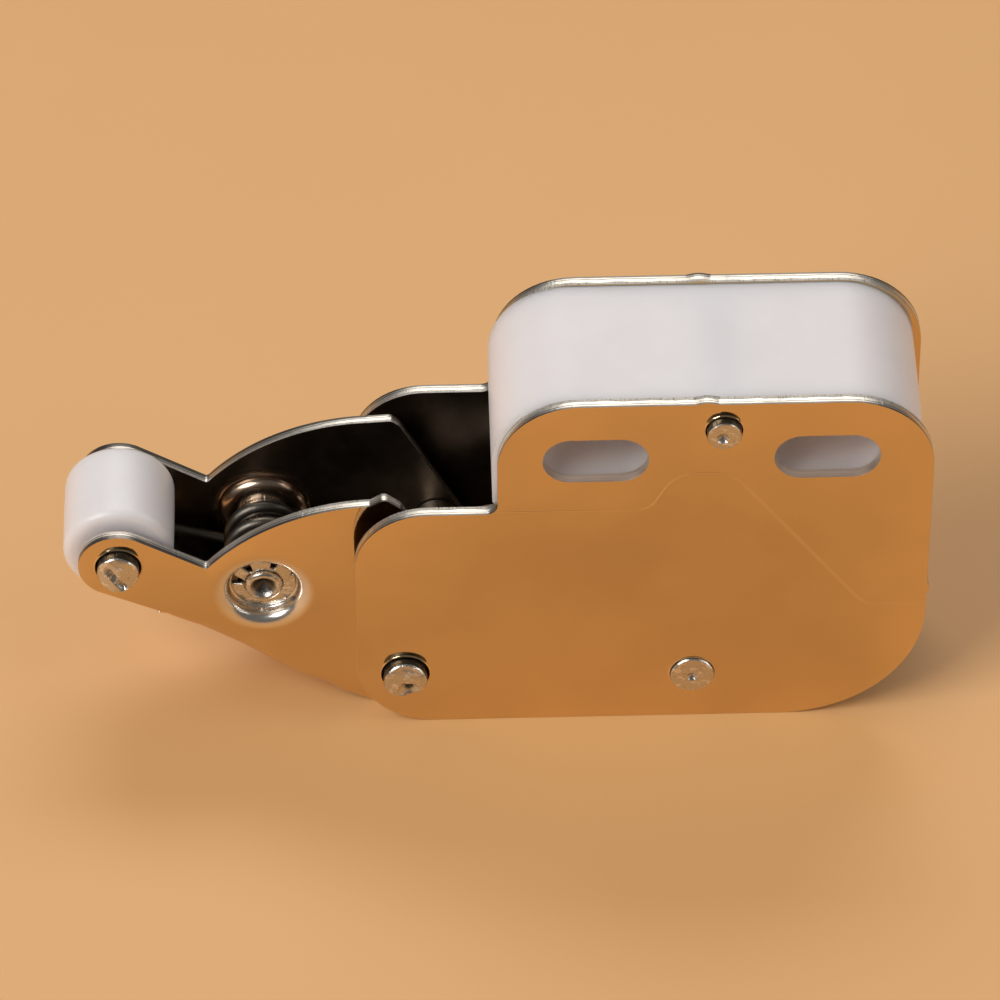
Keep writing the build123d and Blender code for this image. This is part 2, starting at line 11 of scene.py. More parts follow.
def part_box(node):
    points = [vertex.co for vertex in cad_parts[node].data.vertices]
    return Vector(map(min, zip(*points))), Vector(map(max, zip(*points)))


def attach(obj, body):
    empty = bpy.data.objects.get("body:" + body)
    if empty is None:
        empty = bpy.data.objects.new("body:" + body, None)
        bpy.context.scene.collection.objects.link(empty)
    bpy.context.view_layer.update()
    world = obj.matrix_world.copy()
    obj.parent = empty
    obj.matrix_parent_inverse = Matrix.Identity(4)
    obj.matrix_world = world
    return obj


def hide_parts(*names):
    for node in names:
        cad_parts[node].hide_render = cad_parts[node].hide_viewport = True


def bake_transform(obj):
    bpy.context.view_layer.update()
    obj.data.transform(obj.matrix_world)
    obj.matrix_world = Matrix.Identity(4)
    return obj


bl_info = {
    "name": "Push to Open Catch",
    "version": (1, 0, 0),
    "blender": (4, 5, 0),
    "location": "View3D > Sidebar > Catch",
    "description": "Dresses a push to open roller catch with sheet, pins, spring and nylon",
    "category": "Object",
}

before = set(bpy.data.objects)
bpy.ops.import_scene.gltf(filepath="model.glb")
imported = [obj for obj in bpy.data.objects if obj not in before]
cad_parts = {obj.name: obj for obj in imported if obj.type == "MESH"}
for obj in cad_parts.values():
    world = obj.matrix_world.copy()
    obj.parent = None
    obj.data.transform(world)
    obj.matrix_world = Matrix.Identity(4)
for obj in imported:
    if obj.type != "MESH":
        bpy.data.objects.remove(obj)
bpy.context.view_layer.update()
MM = 0.001


def middle(node):
    """Middle of a CAD node's box, in the row frame."""
    low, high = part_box(node)
    return (low + high) / 2


def mm(value):
    """Millimetres of a stored length."""
    return value / MM


# The body's profile is drawn from the lower left corner of the side plates, and the arm's from
# its pivot, both in millimetres and both seen from the front.
FRONT_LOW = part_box("front_side_plate")[0]
REAR_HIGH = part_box("rear_side_plate")[1]
LEFT, BOTTOM = FRONT_LOW.x, FRONT_LOW.z
CENTRE = (FRONT_LOW.y + REAR_HIGH.y) / 2
HALF_DEPTH = (REAR_HIGH.y - FRONT_LOW.y) / 2
CORNER = Vector((LEFT, CENTRE, BOTTOM))
PIVOT = middle("pivot_sleeve")
ROLLER = middle("roller")
POST = middle("spring_post_pin")


# ------------------------------------------------------------------ settings


def length(name, description, millimetres):
    """A length that can be changed, stored in metres."""
    return FloatProperty(
        name=name, description=description, default=millimetres * MM, unit="LENGTH", precision=5
    )


def colour(name, description, value):
    """A colour that can be changed."""
    return FloatVectorProperty(
        name=name, description=description, default=value, subtype="COLOR", size=3, min=0, max=1
    )


def share(name, description, value):
    """A number from 0 to 1 that can be changed."""
    return FloatProperty(
        name=name, description=description, default=value, min=0, max=1, subtype="FACTOR"
    )


def angle(name, description, degrees):
    """An angle that can be changed, stored in radians."""
    return FloatProperty(
        name=name, description=description, default=math.radians(degrees), subtype="ANGLE"
    )


class PlateSettings(PropertyGroup):
    length: length("Length", "Length of the side plates without their nubs", 53.0)
    height: length("Height", "Height of the side plates without their nubs", 40.0)
    thickness: length("Thickness", "Thickness of the sheet", 1.1)
    step: length("Step", "Width of the low shoulder over the pivot", 13.2)
    shoulder: length("Shoulder", "Height of the low shoulder over the pivot", 26.8)
    edge: length("Edge roll", "Radius that blanking rolls on the edges of the sheet", 0.17)
    slot_length: length("Slot length", "End to end length of the screw slots", 9.7)
    slot_width: length("Slot width", "Width of the screw slots", 5.2)
    slot_spacing: length("Slot spacing", "Distance between the middles of the screw slots", 21.1)
    hole_clearance: length("Hole clearance", "Gap between a pin and its hole in the sheet", 0.02)
    witness_line: length("Witness line", "Height of the mark the block's edge leaves", 0.06)


class BlockSettings(PropertyGroup):
    side_inset: length("Side inset", "How far the block lies inside the right edge", 0.8)
    top_inset: length("Top inset", "How far the block lies inside the top edge", 0.15)
    overhang: length("Overhang", "How far the block stands out over the step", 0.45)
    edge: length("Edge radius", "Radius of the moulded edges", 0.3)


class ArmSettings(PropertyGroup):
    width: length("Width", "Outer width over the two cheeks", 12.2)
    thickness: length("Thickness", "Thickness of the sheet", 1.0)
    edge: length("Edge roll", "Radius that blanking rolls on the edges of the sheet", 0.17)
    bend: length("Bend radius", "Outer radius of the bends along the web", 1.2)
    web_slope: angle("Web slope", "Slope of the web below the level", 32.3)
    web_distance: length("Web distance", "Distance of the web's outer face from the pivot", 7.43)
    bow: length("Bow", "How far the pressed web bows along its length", 1.0)
    end_radius: length("End radius", "Radius of the ends that hold the roller pin", 3.7)
    heel_radius: length("Heel radius", "Radius of the heel round the pivot", 6.2)
    splay: length("Splay", "How far each cheek leans outwards at the roller", 0.3)


class RollerSettings(PropertyGroup):
    edge: length("Edge radius", "Radius of the roller's rims", 0.85)
    crown: length("Crown", "How much fuller the roller is in its middle", 0.03)
    pin_radius: length("Pin radius", "Radius of the roller pin", 1.95)


class PinSettings(PropertyGroup):
    dent: length("Dent", "Depth of the hammer marks on peened ends", 0.035)
    segments: IntProperty(
        name="Segments", description="Segments round each pin", default=96, min=24, max=256
    )


class SpringSettings(PropertyGroup):
    wire: length("Wire radius", "Radius of the spring wire", 0.6)
    coil: length("Coil radius", "Radius of the coil at the middle of the wire", 3.15)
    span: length("Coil span", "Distance that the coil runs along its axis", 6.4)
    turns: IntProperty(name="Turns", description="Full turns of the coil", default=3, min=1, max=12)
    short_leg: length("Short leg", "Length of the leg on the web", 8.8)
    overhang: length("Overhang", "How far the long leg runs past the spacer sleeve", 3.0)


class FinishSettings(PropertyGroup):
    # The warm nickel colour is partly the plate's own tint and partly painted reflection of the
    # orange floor.
    nickel: colour("Nickel", "Colour of the bright nickel plate", (0.73, 0.54, 0.31))
    sheared: colour("Sheared edge", "Colour of the blanked edges", (0.84, 0.79, 0.72))
    # The inner colour is painted shade for the faces between the sheets, over their duller finish.
    inner: colour("Inner faces", "Colour of the dull inner faces of the sheet", (0.16, 0.12, 0.088))
    steel: colour("Pin steel", "Colour of the pins and rivets", (0.74, 0.69, 0.61))
    wire: colour("Spring wire", "Colour of the drawn spring wire", (0.13, 0.115, 0.095))
    nylon: colour("Nylon", "Colour of the moulded nylon", (0.90, 0.845, 0.85))
    smear: share("Smears", "Strength of handling smears on the bright sheet", 0.35)


class StageSettings(PropertyGroup):
    floor: colour("Floor", "Colour of the floor", (0.86, 0.47, 0.19))
    location: FloatVectorProperty(
        name="Camera location",
        description="Where the camera stands",
        default=(-0.029675, -0.44303, 0.4063),
        subtype="TRANSLATION",
        size=3,
        precision=5,
    )
    elevation: angle("Elevation", "How steeply the camera looks down", 44.0)
    heading: angle("Heading", "How far the camera looks to the right", 1.4)
    roll: angle("Roll", "How far the camera leans", -0.196)
    lens: FloatProperty(
        name="Lens", description="Focal length", default=233.18, unit="CAMERA", min=1
    )


# ------------------------------------------------------------------ shader maths


class Value:
    """A shader socket that can be used in expressions, such as 1 - mask * 0.5."""

    def __init__(self, tree, socket):
        self.tree = tree
        self.socket = socket

    def node(self, kind, settings=None, inputs=None, output=0):
        """Adds a node. Settings come first, then the values or links of its sockets."""
        made = self.tree.nodes.new(kind)
        for key, value in (settings or {}).items():
            setattr(made, key, value)
        for key, value in (inputs or {}).items():
            if isinstance(value, Value):
                self.tree.links.new(value.socket, made.inputs[key])
            else:
                made.inputs[key].default_value = value
        return Value(self.tree, made.outputs[output])

    def maths(self, operation, *values):
        """A Math node on this value and others."""
        return self.node(
            "ShaderNodeMath", {"operation": operation}, dict(enumerate([self, *values]))
        )

    def __add__(self, other):
        return self.maths("ADD", other)

    __radd__ = __add__

    def __sub__(self, other):
        return self.maths("SUBTRACT", other)

    def __rsub__(self, other):
        return self.node("ShaderNodeMath", {"operation": "SUBTRACT"}, {0: other, 1: self})

    def __mul__(self, other):
        return self.maths("MULTIPLY", other)

    def __pow__(self, other):
        return self.maths("POWER", other)

    def between(self, low, high):
        """0 below low, 1 above high and smooth in between."""
        return self.node(
            "ShaderNodeMapRange",
            {"interpolation_type": "SMOOTHSTEP"},
            {"Value": self, "From Min": low, "From Max": high},
        )

    def blend(self, first, second):
        """Colour that goes from first to second as this value goes from 0 to 1."""
        return self.node(
            "ShaderNodeMix", {"data_type": "RGBA"}, {0: self, 6: first, 7: second}, output=2
        )


class Finish:
    """A material being written: its tree, its place coordinates and its shader."""

    def __init__(self, name):
        self.material = bpy.data.materials.new(name)
        self.material.use_nodes = True
        self.tree = self.material.node_tree
        self.shader = next(n for n in self.tree.nodes if n.type == "BSDF_PRINCIPLED")
        self.start = Value(self.tree, None)
        self.place = self.start.node("ShaderNodeTexCoord", output=3)

    def at(self, centre=(0, 0, 0), stretch=(1, 1, 1), turn=(0, 0, 0)):
        """Object coordinates in millimetres about a centre, turned and stretched."""
        moved = self.start.node(
            "ShaderNodeVectorMath", {"operation": "SUBTRACT"}, {0: self.place, 1: tuple(centre)}
        )
        scale = tuple(1000 * s for s in stretch)
        return self.start.node(
            "ShaderNodeMapping",
            {"vector_type": "POINT"},
            {"Vector": moved, "Rotation": turn, "Scale": scale},
        )

    def clouds(self, vector, scale, detail=3.0, roughness=0.55):
        """Noise from 0 to 1."""
        inputs = {"Vector": vector, "Scale": scale, "Detail": detail, "Roughness": roughness}
        return self.start.node("ShaderNodeTexNoise", {}, inputs)

    def split(self, vector):
        """The three parts of a vector."""
        parts = self.start.node("ShaderNodeSeparateXYZ", {}, {0: vector})
        node = parts.socket.node
        return [Value(self.tree, node.outputs[i]) for i in range(3)]

    def bump(self, height, distance, normal=None, strength=1.0):
        """Bumps of a height in millimetres, on top of an earlier normal."""
        inputs = {"Height": height, "Distance": distance * MM, "Strength": strength}
        if normal is not None:
            inputs["Normal"] = normal
        return self.start.node("ShaderNodeBump", {}, inputs)

    def made(self, base, rough, normal=None, metal=1.0, **others):
        """The finished material. Others are sockets of the shader, with _ for a space."""
        values = {"Base Color": base, "Roughness": rough, "Metallic": metal}
        if normal is not None:
            values["Normal"] = normal
        values |= {name.replace("_", " "): value for name, value in others.items()}
        for name, value in values.items():
            socket = self.shader.inputs[name]
            if isinstance(value, Value):
                self.tree.links.new(value.socket, socket)
            else:
                socket.default_value = value
        return self.material


def shades(base, *factors):
    """A colour times each factor, with an alpha of 1."""
    return [tuple(min(1.0, c * f) for c in base) + (1.0,) for f in factors]


def away_from(place, x=0.0, z=0.0):
    """Distance in the profile plane between split coordinates and a place."""
    dx, dz = place[0] - x, place[2] - z
    return (dx * dx + dz * dz) ** 0.5


def distance_to_line(x, y, a, b):
    """Distance in the plane from x, y to the line between a and b."""
    dx, dy = b[0] - a[0], b[1] - a[1]
    px, py = x - a[0], y - a[1]
    along = (px * dx + py * dy) * (1 / (dx * dx + dy * dy))
    along = along.node("ShaderNodeClamp", {}, {"Value": along})
    ex, ey = px - along * dx, py - along * dy
    return (ex * ex + ey * ey) ** 0.5


def bright_nickel(name, settings, line=None, height=0.0, cup=None):
    """Bright plated sheet with faint waves, fine rubbing marks and smears.

    A pressed line stands out of it by a height and is painted lighter as a painted highlight, and
    round a pressed cup the plate is duller, with painted shade on the cup's floor.
    """
    f = Finish(name)
    waves = f.clouds(f.at(stretch=(1, 0.6, 1)), 0.16, 2.0)
    peel = f.clouds(f.at(), 1.9, 3.0)
    smears = f.clouds(f.at(turn=(0.4, 0.2, 0.9), stretch=(0.7, 1, 1.6)), 0.22, 5.0)
    smears = smears.between(0.46, 0.72)
    rubs = f.clouds(f.at(turn=(0, 0.06, 0), stretch=(0.25, 1, 9)), 1.3, 4.0).between(0.52, 0.8)
    specks = f.clouds(f.at(), 5.5, 2.0).between(0.70, 0.76)
    tone = f.clouds(f.at(), 0.09, 2.0)
    # The nickel colour carries a painted reflection of the orange floor on top of the plate's own
    # tint.
    plain, light, dull = shades(settings.nickel, 1.0, 1.08, 0.80)
    base = tone.between(0.3, 0.7).blend(plain, light)
    base = (specks * 0.7).blend(base, dull)
    rough = 0.055 + smears * (0.13 * settings.smear) + rubs * 0.03 + specks * 0.15
    normal = f.bump(waves, 0.30, strength=0.12)
    normal = f.bump(peel, 0.004, normal, 0.4)
    if line:
        x, _, z = f.split(f.at(CORNER))
        nearest, *others = [distance_to_line(x, z, a, b) for a, b in zip(line, line[1:])]
        for other in others:
            nearest = nearest.maths("MINIMUM", other)
        ridge = 1 - nearest.between(0.02, 0.2)
        normal = f.bump(ridge, height, normal, 0.8)
        rough = rough + ridge * 0.10
        # Painted highlight: the pressed line is painted lighter, for the brighter reflection that
        # it catches.
        base = (ridge * 0.22).blend(base, shades(settings.nickel, 1.35)[0])
    if cup:
        away = away_from(f.split(f.at(cup)))
        drawn, floor = 1 - away.between(3.9, 4.9), 1 - away.between(2.95, 3.15)
        rough = rough + drawn * 0.17
        base = drawn.blend(base, shades(settings.sheared, 1.0)[0])
        # Painted shade: the cup's floor round the post, under the sleeve's flange, is painted dark.
        base = floor.blend(base, shades(settings.inner, 0.8)[0])
    return f.made(base, rough, normal)


def sheared_edge(name, settings, inner, outer, lips=None):
    """Blanked edge of sheet between two depths: a bright land over a torn zone.

    A crack line runs between them, and above the shoulder a painted dark reflection lies as a band
    near the outer face.
    The lips are the left, right, lower and upper bounds round the screw slots, where the edge's
    dark marks are made fainter.
    """
    f = Finish(name)
    depth = f.split(f.at((0, CENTRE, 0)))[1].maths("ABSOLUTE")
    across = (depth - mm(inner)) * (1 / mm(outer - inner))
    wander = f.clouds(f.at(stretch=(1, 0.02, 1)), 0.45, 4.0)
    burr = f.clouds(f.at(stretch=(1, 0.16, 1)), 7.5, 3.0, 0.6)
    patches = f.clouds(f.at(stretch=(1, 0.3, 1)), 0.30, 3.0).between(0.48, 0.64)
    torn_edge = wander * 0.5 - 0.02
    torn = 1 - across.between(torn_edge, torn_edge + 0.10)
    crack = 1 - (across - wander * 0.3 - 0.50).maths("ABSOLUTE").between(0.015, 0.07)
    streaks = burr.between(0.50, 0.66)
    shade = (torn * 0.34 + torn * streaks * 0.4).maths("MAXIMUM", crack * 0.85)
    shade = shade.maths("MAXIMUM", streaks * patches * 0.35)
    # Painted reflection: on the upper edges a dark band near the outer face stands in for the dark
    # that the rolled edge reflects.
    high = f.split(f.at((0, 0, BOTTOM)))[2].between(15.0, 19.0)
    shade = shade.maths("MAXIMUM", across.between(0.76, 0.86) * high * 0.9)
    if lips:
        left, right, low, top = lips
        x, _, z = f.split(f.at(CORNER))
        wide = x.between(left - 0.2, left) * (1 - x.between(right, right + 0.2))
        tall = z.between(low - 0.2, low) * (1 - z.between(top, top + 0.2))
        shade = shade * (1 - wide * tall * 0.75)
    light, dark = shades(settings.sheared, 1.0, 0.16)
    rough = 0.33 + torn * 0.14 + patches * 0.06
    normal = f.bump(1 - torn, 0.06, strength=0.7)
    normal = f.bump(burr * (0.4 + torn * 0.6), 0.09, normal, 0.8)
    return f.made(shade.blend(light, dark), rough, normal)


def inner_sheet_with_painted_shade(name, settings, boss=None, margins=None):
    """Inner faces of the sheet: duller, and darkened with painted shade, which gives way on a lit
    boss and on lit outer margins.
    """
    f = Finish(name)
    film = f.clouds(f.at(), 0.22, 4.0)
    dust = f.clouds(f.at(), 3.5, 2.0).between(0.68, 0.76)
    # Painted shade: the inner faces get a dark colour for the shade between the sheets, over a
    # duller finish.
    light, dark = shades(settings.inner, 1.25, 0.8)
    rough = 0.30 + film * 0.12 + dust * 0.2
    base = film.between(0.35, 0.65).blend(dark, light)
    if boss:
        # Painted light: the boss, which catches light, is painted lighter and lifted out of the
        # painted shade.
        wear_and_painted_light = 1 - away_from(f.split(f.at(boss))).between(4.4, 5.3)
        base = wear_and_painted_light.blend(base, shades(settings.inner, 3.0)[0])
        rough = rough - wear_and_painted_light * 0.13
    if margins:
        # Painted light: near the right and top edges, where the inner face is lit, the painted
        # shade gives way to the nickel colour.
        x, _, z = f.split(f.at(CORNER))
        right, top = (part.between(end - 2.5, end) for part, end in zip((x, z), margins))
        painted_lit_margin = right.maths("MAXIMUM", top)
        base = painted_lit_margin.blend(base, shades(settings.nickel, 1.0)[0])
        rough = rough - painted_lit_margin * 0.2
    normal = f.bump(film, 0.03, strength=0.3)
    return f.made(base, rough, normal)


def peened_steel(name, settings, centre, radius, pit=None):
    """Satin steel of pins and rivets: tool marks, chips, grime, and a side painted dark as painted
    reflection.

    A pit gets painted shade too: x and z of its middle, its radius, and the depth at which it ends.
    """
    f = Finish(name)
    dents = f.clouds(f.at(centre), 1.3, 3.0)
    marks = f.clouds(f.at(centre, stretch=(4, 1, 1), turn=(0, 0.7, 0)), 2.0, 3.0).between(0.55, 0.8)
    grime = f.clouds(f.at(centre), 1.6, 4.0, 0.6).between(0.62, 0.74)
    chips = f.clouds(f.at(centre, stretch=(1, 0.2, 1.6)), 1.1, 3.0, 0.6).between(0.53, 0.60)
    plain, dark, side, white = shades(settings.steel, 0.86, 0.38, 0.17, 1.25)
    base = (chips * 0.8).blend(plain, white)
    base = (grime * 0.55).blend(base, dark)
    rough = 0.27 + marks * 0.12 + grime * 0.2 + chips * 0.16
    place = f.split(f.at(centre))
    # Painted reflection: the shank's side is painted dark, for the dark surroundings that it
    # mirrors.
    drawn = away_from(place).between(radius - 0.05, radius - 0.01)
    if pit:
        x, z, wide, rearmost = pit
        # Painted shade: the punched pit is painted dark.
        hollow = 1 - away_from(place, x, z).between(wide - 0.35, wide)
        front = 1 - place[1].between(rearmost - 0.1, rearmost)
        drawn = drawn.maths("MAXIMUM", hollow * front)
    base = drawn.blend(base, side)
    rough = rough + drawn * 0.08
    normal = f.bump(dents, 0.05, strength=0.9)
    normal = f.bump(marks, 0.01, normal, 0.5)
    normal = f.bump(chips, 0.03, normal, 0.7)
    return f.made(base, rough, normal)


def turned_steel(name, settings):
    """Plain turned steel of the hidden sleeves, washers and links."""
    f = Finish(name)
    lines = f.clouds(f.at(stretch=(1, 14, 1)), 1.2, 3.0)
    oil = f.clouds(f.at(), 0.35, 4.0).between(0.4, 0.7)
    plain, dark = shades(settings.steel, 0.95, 0.62)
    rough = 0.24 + oil * 0.16
    normal = f.bump(lines, 0.012, strength=0.6)
    return f.made(oil.blend(plain, dark), rough, normal)


def drawn_wire(name, settings):
    """Dark spring wire with die lines, oil and brighter patches of wear."""
    f = Finish(name)
    wear_and_painted_light = f.clouds(f.at(), 0.9, 4.0).between(0.5, 0.75)
    grain = f.clouds(f.at(stretch=(1, 1, 4)), 6.0, 3.0)
    plain, light = shades(settings.wire, 1.0, 1.9)
    rough = 0.34 + grain * 0.12 - wear_and_painted_light * 0.06
    normal = f.bump(grain, 0.02, strength=0.5)
    return f.made(wear_and_painted_light.blend(plain, light), rough, normal)


def moulded_nylon(name, settings, rough, turned=False, depth=3.5):
    """Natural white nylon: milky to a depth, faintly mottled, with a fine moulded skin."""
    f = Finish(name)
    mottle = f.clouds(f.at(), 0.12, 3.0)
    skin = f.clouds(f.at(), 7.0, 3.0)
    scuffs = f.clouds(f.at(stretch=(0.3, 1, 3), turn=(0, 0.5, 0)), 1.1, 4.0).between(0.62, 0.8)
    plain, warm, grey = shades(settings.nylon, 1.0, 0.96, 0.88)
    base = mottle.between(0.3, 0.7).blend(plain, warm)
    base = (scuffs * 0.25).blend(base, grey)
    surface = rough + mottle * 0.08 + scuffs * 0.12
    normal = f.bump(skin, 0.02, strength=0.5)
    if turned:
        lines = f.clouds(f.at(stretch=(0.05, 6, 0.05)), 1.6, 2.0)
        normal = f.bump(lines, 0.02, normal, 0.4)
    milk = {"Subsurface_Weight": 0.8, "Subsurface_Radius": (1.0, 0.97, 0.93)}
    return f.made(base, surface, normal, 0.0, IOR=1.53, Subsurface_Scale=depth * MM, **milk)


# ------------------------------------------------------------------ shape tools


def polar(radius, turn, x=0.0, y=0.0):
    """Point at a radius and a bearing from x, y."""
    return Vector((x + radius * math.cos(turn), y + radius * math.sin(turn)))


def corner_arc(before, corner, after, radius, step):
    """Points of the arc that rounds a corner."""
    a = (before - corner).normalized()
    b = (after - corner).normalized()
    half = a.angle(b) / 2
    reach = radius / math.tan(half)
    centre = corner + (a + b).normalized() * (radius / math.sin(half))
    start = corner + a * reach - centre
    turn = math.pi - 2 * half
    count = max(2, math.ceil(turn / step))
    sign = 1 if a.x * b.y - a.y * b.x < 0 else -1
    points = []
    for i in range(count + 1):
        angle_now = sign * turn * i / count
        c, s = math.cos(angle_now), math.sin(angle_now)
        points.append(centre + Vector((start.x * c - start.y * s, start.x * s + start.y * c)))
    return points


def rounded(corners, step=math.radians(6)):
    """Closed outline of corners given with their radius; 0 keeps a corner sharp."""
    places = [Vector(place) for place, _ in corners]
    outline = []
    for i, (_, radius) in enumerate(corners):
        if radius > 0:
            after = places[(i + 1) % len(places)]
            outline += corner_arc(places[i - 1], places[i], after, radius, step)
        else:
            outline.append(places[i])
    return outline


def circle(x, y, radius, count=64):
    """Round outline."""
    return [polar(radius, 2 * math.pi * i / count, x, y) for i in range(count)]


def slot_outline(x, y, span, width, count=20):
    """Outline of a slot with round ends."""
    reach, radius = (span - width) / 2, width / 2
    points = []
    for half_turn, shift in enumerate((reach, -reach)):
        for i in range(count + 1):
            turn = math.pi * (i / count - 0.5 + half_turn)
            points.append(polar(radius, turn, x + shift, y))
    return points


def arc_through(a, b, c, count):
    """Points from a to c on the arc through b."""
    a, b, c = Vector(a), Vector(b), Vector(c)
    d = 2 * (a.x * (b.y - c.y) + b.x * (c.y - a.y) + c.x * (a.y - b.y))
    aa, bb, cc = a.length_squared, b.length_squared, c.length_squared
    x = (aa * (b.y - c.y) + bb * (c.y - a.y) + cc * (a.y - b.y)) / d
    y = (aa * (c.x - b.x) + bb * (a.x - c.x) + cc * (b.x - a.x)) / d
    centre = Vector((x, y))
    turns = [math.atan2((p - centre).y, (p - centre).x) for p in (a, b, c)]
    full = (turns[2] - turns[0]) % (2 * math.pi)
    if (turns[1] - turns[0]) % (2 * math.pi) > full:
        full -= 2 * math.pi
    radius = (a - centre).length
    return [polar(radius, turns[0] + full * i / count, x, y) for i in range(count + 1)]


def inside(point, outline):
    """True where a point lies inside a closed outline."""
    crossings = 0
    for i, a in enumerate(outline):
        b = outline[i - 1]
        if (a.y > point.y) != (b.y > point.y):
            crossings += point.x < a.x + (b.x - a.x) * (point.y - a.y) / (b.y - a.y)
    return crossings % 2 == 1


class Shape:
    """A mesh being built in millimetres: x and y in the profile plane, depth towards the rear."""

    def __init__(self, place):
        self.origin = Vector((place.x, CENTRE, place.z))
        self.mesh = bmesh.new()

    def vert(self, x, y, depth):
        """A vertex at a profile place and depth."""
        return self.mesh.verts.new((x, depth, y))

    def face(self, verts):
        """A face, unless it would fold onto itself."""
        distinct = list(dict.fromkeys(verts))
        if len(distinct) > 2:
            self.mesh.faces.new(distinct).smooth = True

    def fill(self, outlines, depth, front=True):
        """Flat face at a depth between an outer outline and its holes."""
        points, edges = [], []
        for outline in outlines:
            first = len(points)
            points += [Vector(p) for p in outline]
            edges += [(first + i, first + (i + 1) % len(outline)) for i in range(len(outline))]
        verts, _, faces, *_ = delaunay_2d_cdt(points, edges, [], 1, 1e-6)
        made = [self.vert(v.x, v.y, depth) for v in verts]
        for face in faces:
            centre = sum((verts[i] for i in face), Vector((0, 0))) / len(face)
            if any(inside(centre, hole) for hole in outlines[1:]):
                continue
            order = [made[i] for i in face]
            self.face(order if front else order[::-1])
        loose = [v for v in made if not v.link_faces]
        bmesh.ops.delete(self.mesh, geom=loose, context="VERTS")

    def rings(self, rings, closed=True):
        """Faces between neighbouring rings of vertices."""
        for a, b in zip(rings, rings[1:]):
            count = len(a)
            for i in range(count if closed else count - 1):
                j = (i + 1) % count
                self.face([a[i], a[j], b[j], b[i]])

    def lathe(self, x, y, profile, segments, shift=None):
        """Turned surface about an axis: profile holds its radius and depth pairs."""
        rings = []
        for radius, depth in profile:
            ring = []
            for i in range(segments):
                turn = 2 * math.pi * i / segments
                moved = shift(radius, turn, depth) if shift else 0.0
                ring.append(self.vert(*polar(radius, turn, x, y), depth + moved))
            rings.append(ring)
        self.rings(rings)

    def finished(self, name, *materials):
        """Merges the mesh, puts it in place and makes an object of it."""
        bmesh.ops.remove_doubles(self.mesh, verts=self.mesh.verts, dist=1e-4)
        bmesh.ops.recalc_face_normals(self.mesh, faces=self.mesh.faces)
        self.mesh.transform(Matrix.Translation(self.origin) @ Matrix.Scale(MM, 4))
        data = bpy.data.meshes.new(name)
        self.mesh.to_mesh(data)
        self.mesh.free()
        for material in materials:
            data.materials.append(material)
        piece = bpy.data.objects.new(name, data)
        bpy.context.scene.collection.objects.link(piece)
        return piece


def face_outwards(piece):
    """Turns the faces of an open sheet away from the middle plane."""
    total = sum(p.normal.y * (p.center.y - CENTRE) * p.area for p in piece.data.polygons)
    if total < 0:
        piece.data.flip_normals()


def settle(piece, body, node, modifiers=(), sharp=40):
    """Applies the modifiers, evens the normals, and puts the piece in its CAD node's place."""
    for kind, values in modifiers:
        modifier = piece.modifiers.new(kind.title(), kind)
        for key, value in values.items():
            setattr(modifier, key, value)
    piece.data.set_sharp_from_angle(angle=math.radians(sharp))
    even = piece.modifiers.new("Even normals", "WEIGHTED_NORMAL")
    even.keep_sharp = True
    even.use_face_influence = True
    even.weight = 80
    graph = bpy.context.evaluated_depsgraph_get()
    data = bpy.data.meshes.new_from_object(piece.evaluated_get(graph))
    piece.modifiers.clear()
    piece.data = data
    data.name = piece.name
    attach(piece, body)
    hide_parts(node)


def sheet_modifiers(thickness, edge, rim=1):
    """Thickness towards the hidden side, then rolled edges: rim 0 keeps one finish all over."""
    solid = {"thickness": thickness, "offset": -1.0, "use_even_offset": True}
    solid |= {"material_offset_rim": rim, "material_offset": 2 * rim}
    roll = {"width": edge, "segments": 3, "limit_method": "ANGLE"}
    roll |= {"angle_limit": math.radians(50), "face_strength_mode": "FSTR_ALL"}
    return [("SOLIDIFY", solid), ("BEVEL", roll)]


def dress(nodes, material):
    """Gives CAD nodes a finish."""
    for name in nodes:
        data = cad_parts[name].data
        data.materials.clear()
        data.materials.append(material)


# ------------------------------------------------------------------ side plates and block


SHOULDER_RADIUS = 6.8
STEP_RADIUS = 1.1
TOP_LEFT_RADIUS = 7.5
TOP_RIGHT_RADIUS = 8.0
BOTTOM_RIGHT_RADIUS = 13.3
BOTTOM_LEFT_RADIUS = 7.3
NUB_RISE = 0.22
NUB_STEPS = 12
TOP_NUB, TOP_NUB_HALF = 32.2, 1.25
SIDE_NUB, SIDE_NUB_HALF = 16.2, 0.85


def plate_outline(settings):
    """Outline of a side plate from its lower left corner, with the nubs of its carrier strip."""
    wide, high = mm(settings.length), mm(settings.height)
    step, shoulder = mm(settings.step), mm(settings.shoulder)
    places = [2 * i / NUB_STEPS - 1 for i in range(NUB_STEPS + 1)]
    nub = [(t, NUB_RISE * math.cos(t * math.pi / 2) ** 1.4) for t in places[1:-1]]
    nub = [(-1.0, 0.0), *nub, (1.0, 0.0)]
    side = [((wide + rise, SIDE_NUB + SIDE_NUB_HALF * t), 0) for t, rise in nub]
    top = [((TOP_NUB - TOP_NUB_HALF * t, high + rise), 0) for t, rise in nub]
    bottom = [((0, 0), BOTTOM_LEFT_RADIUS), ((wide, 0), BOTTOM_RIGHT_RADIUS)]
    left = [((step, high), TOP_LEFT_RADIUS), ((step, shoulder), STEP_RADIUS)]
    left.append(((0, shoulder), SHOULDER_RADIUS))
    return rounded([*bottom, *side, ((wide, high), TOP_RIGHT_RADIUS), *top, *left])


def slots(settings):
    """Outlines of the two screw slots, which lie level with the row's origin."""
    span, width = mm(settings.slot_length), mm(settings.slot_width)
    made = []
    for side in (-0.5, 0.5):
        x = mm(side * settings.slot_spacing - LEFT)
        made.append(slot_outline(x, mm(-BOTTOM), span, width))
    return made


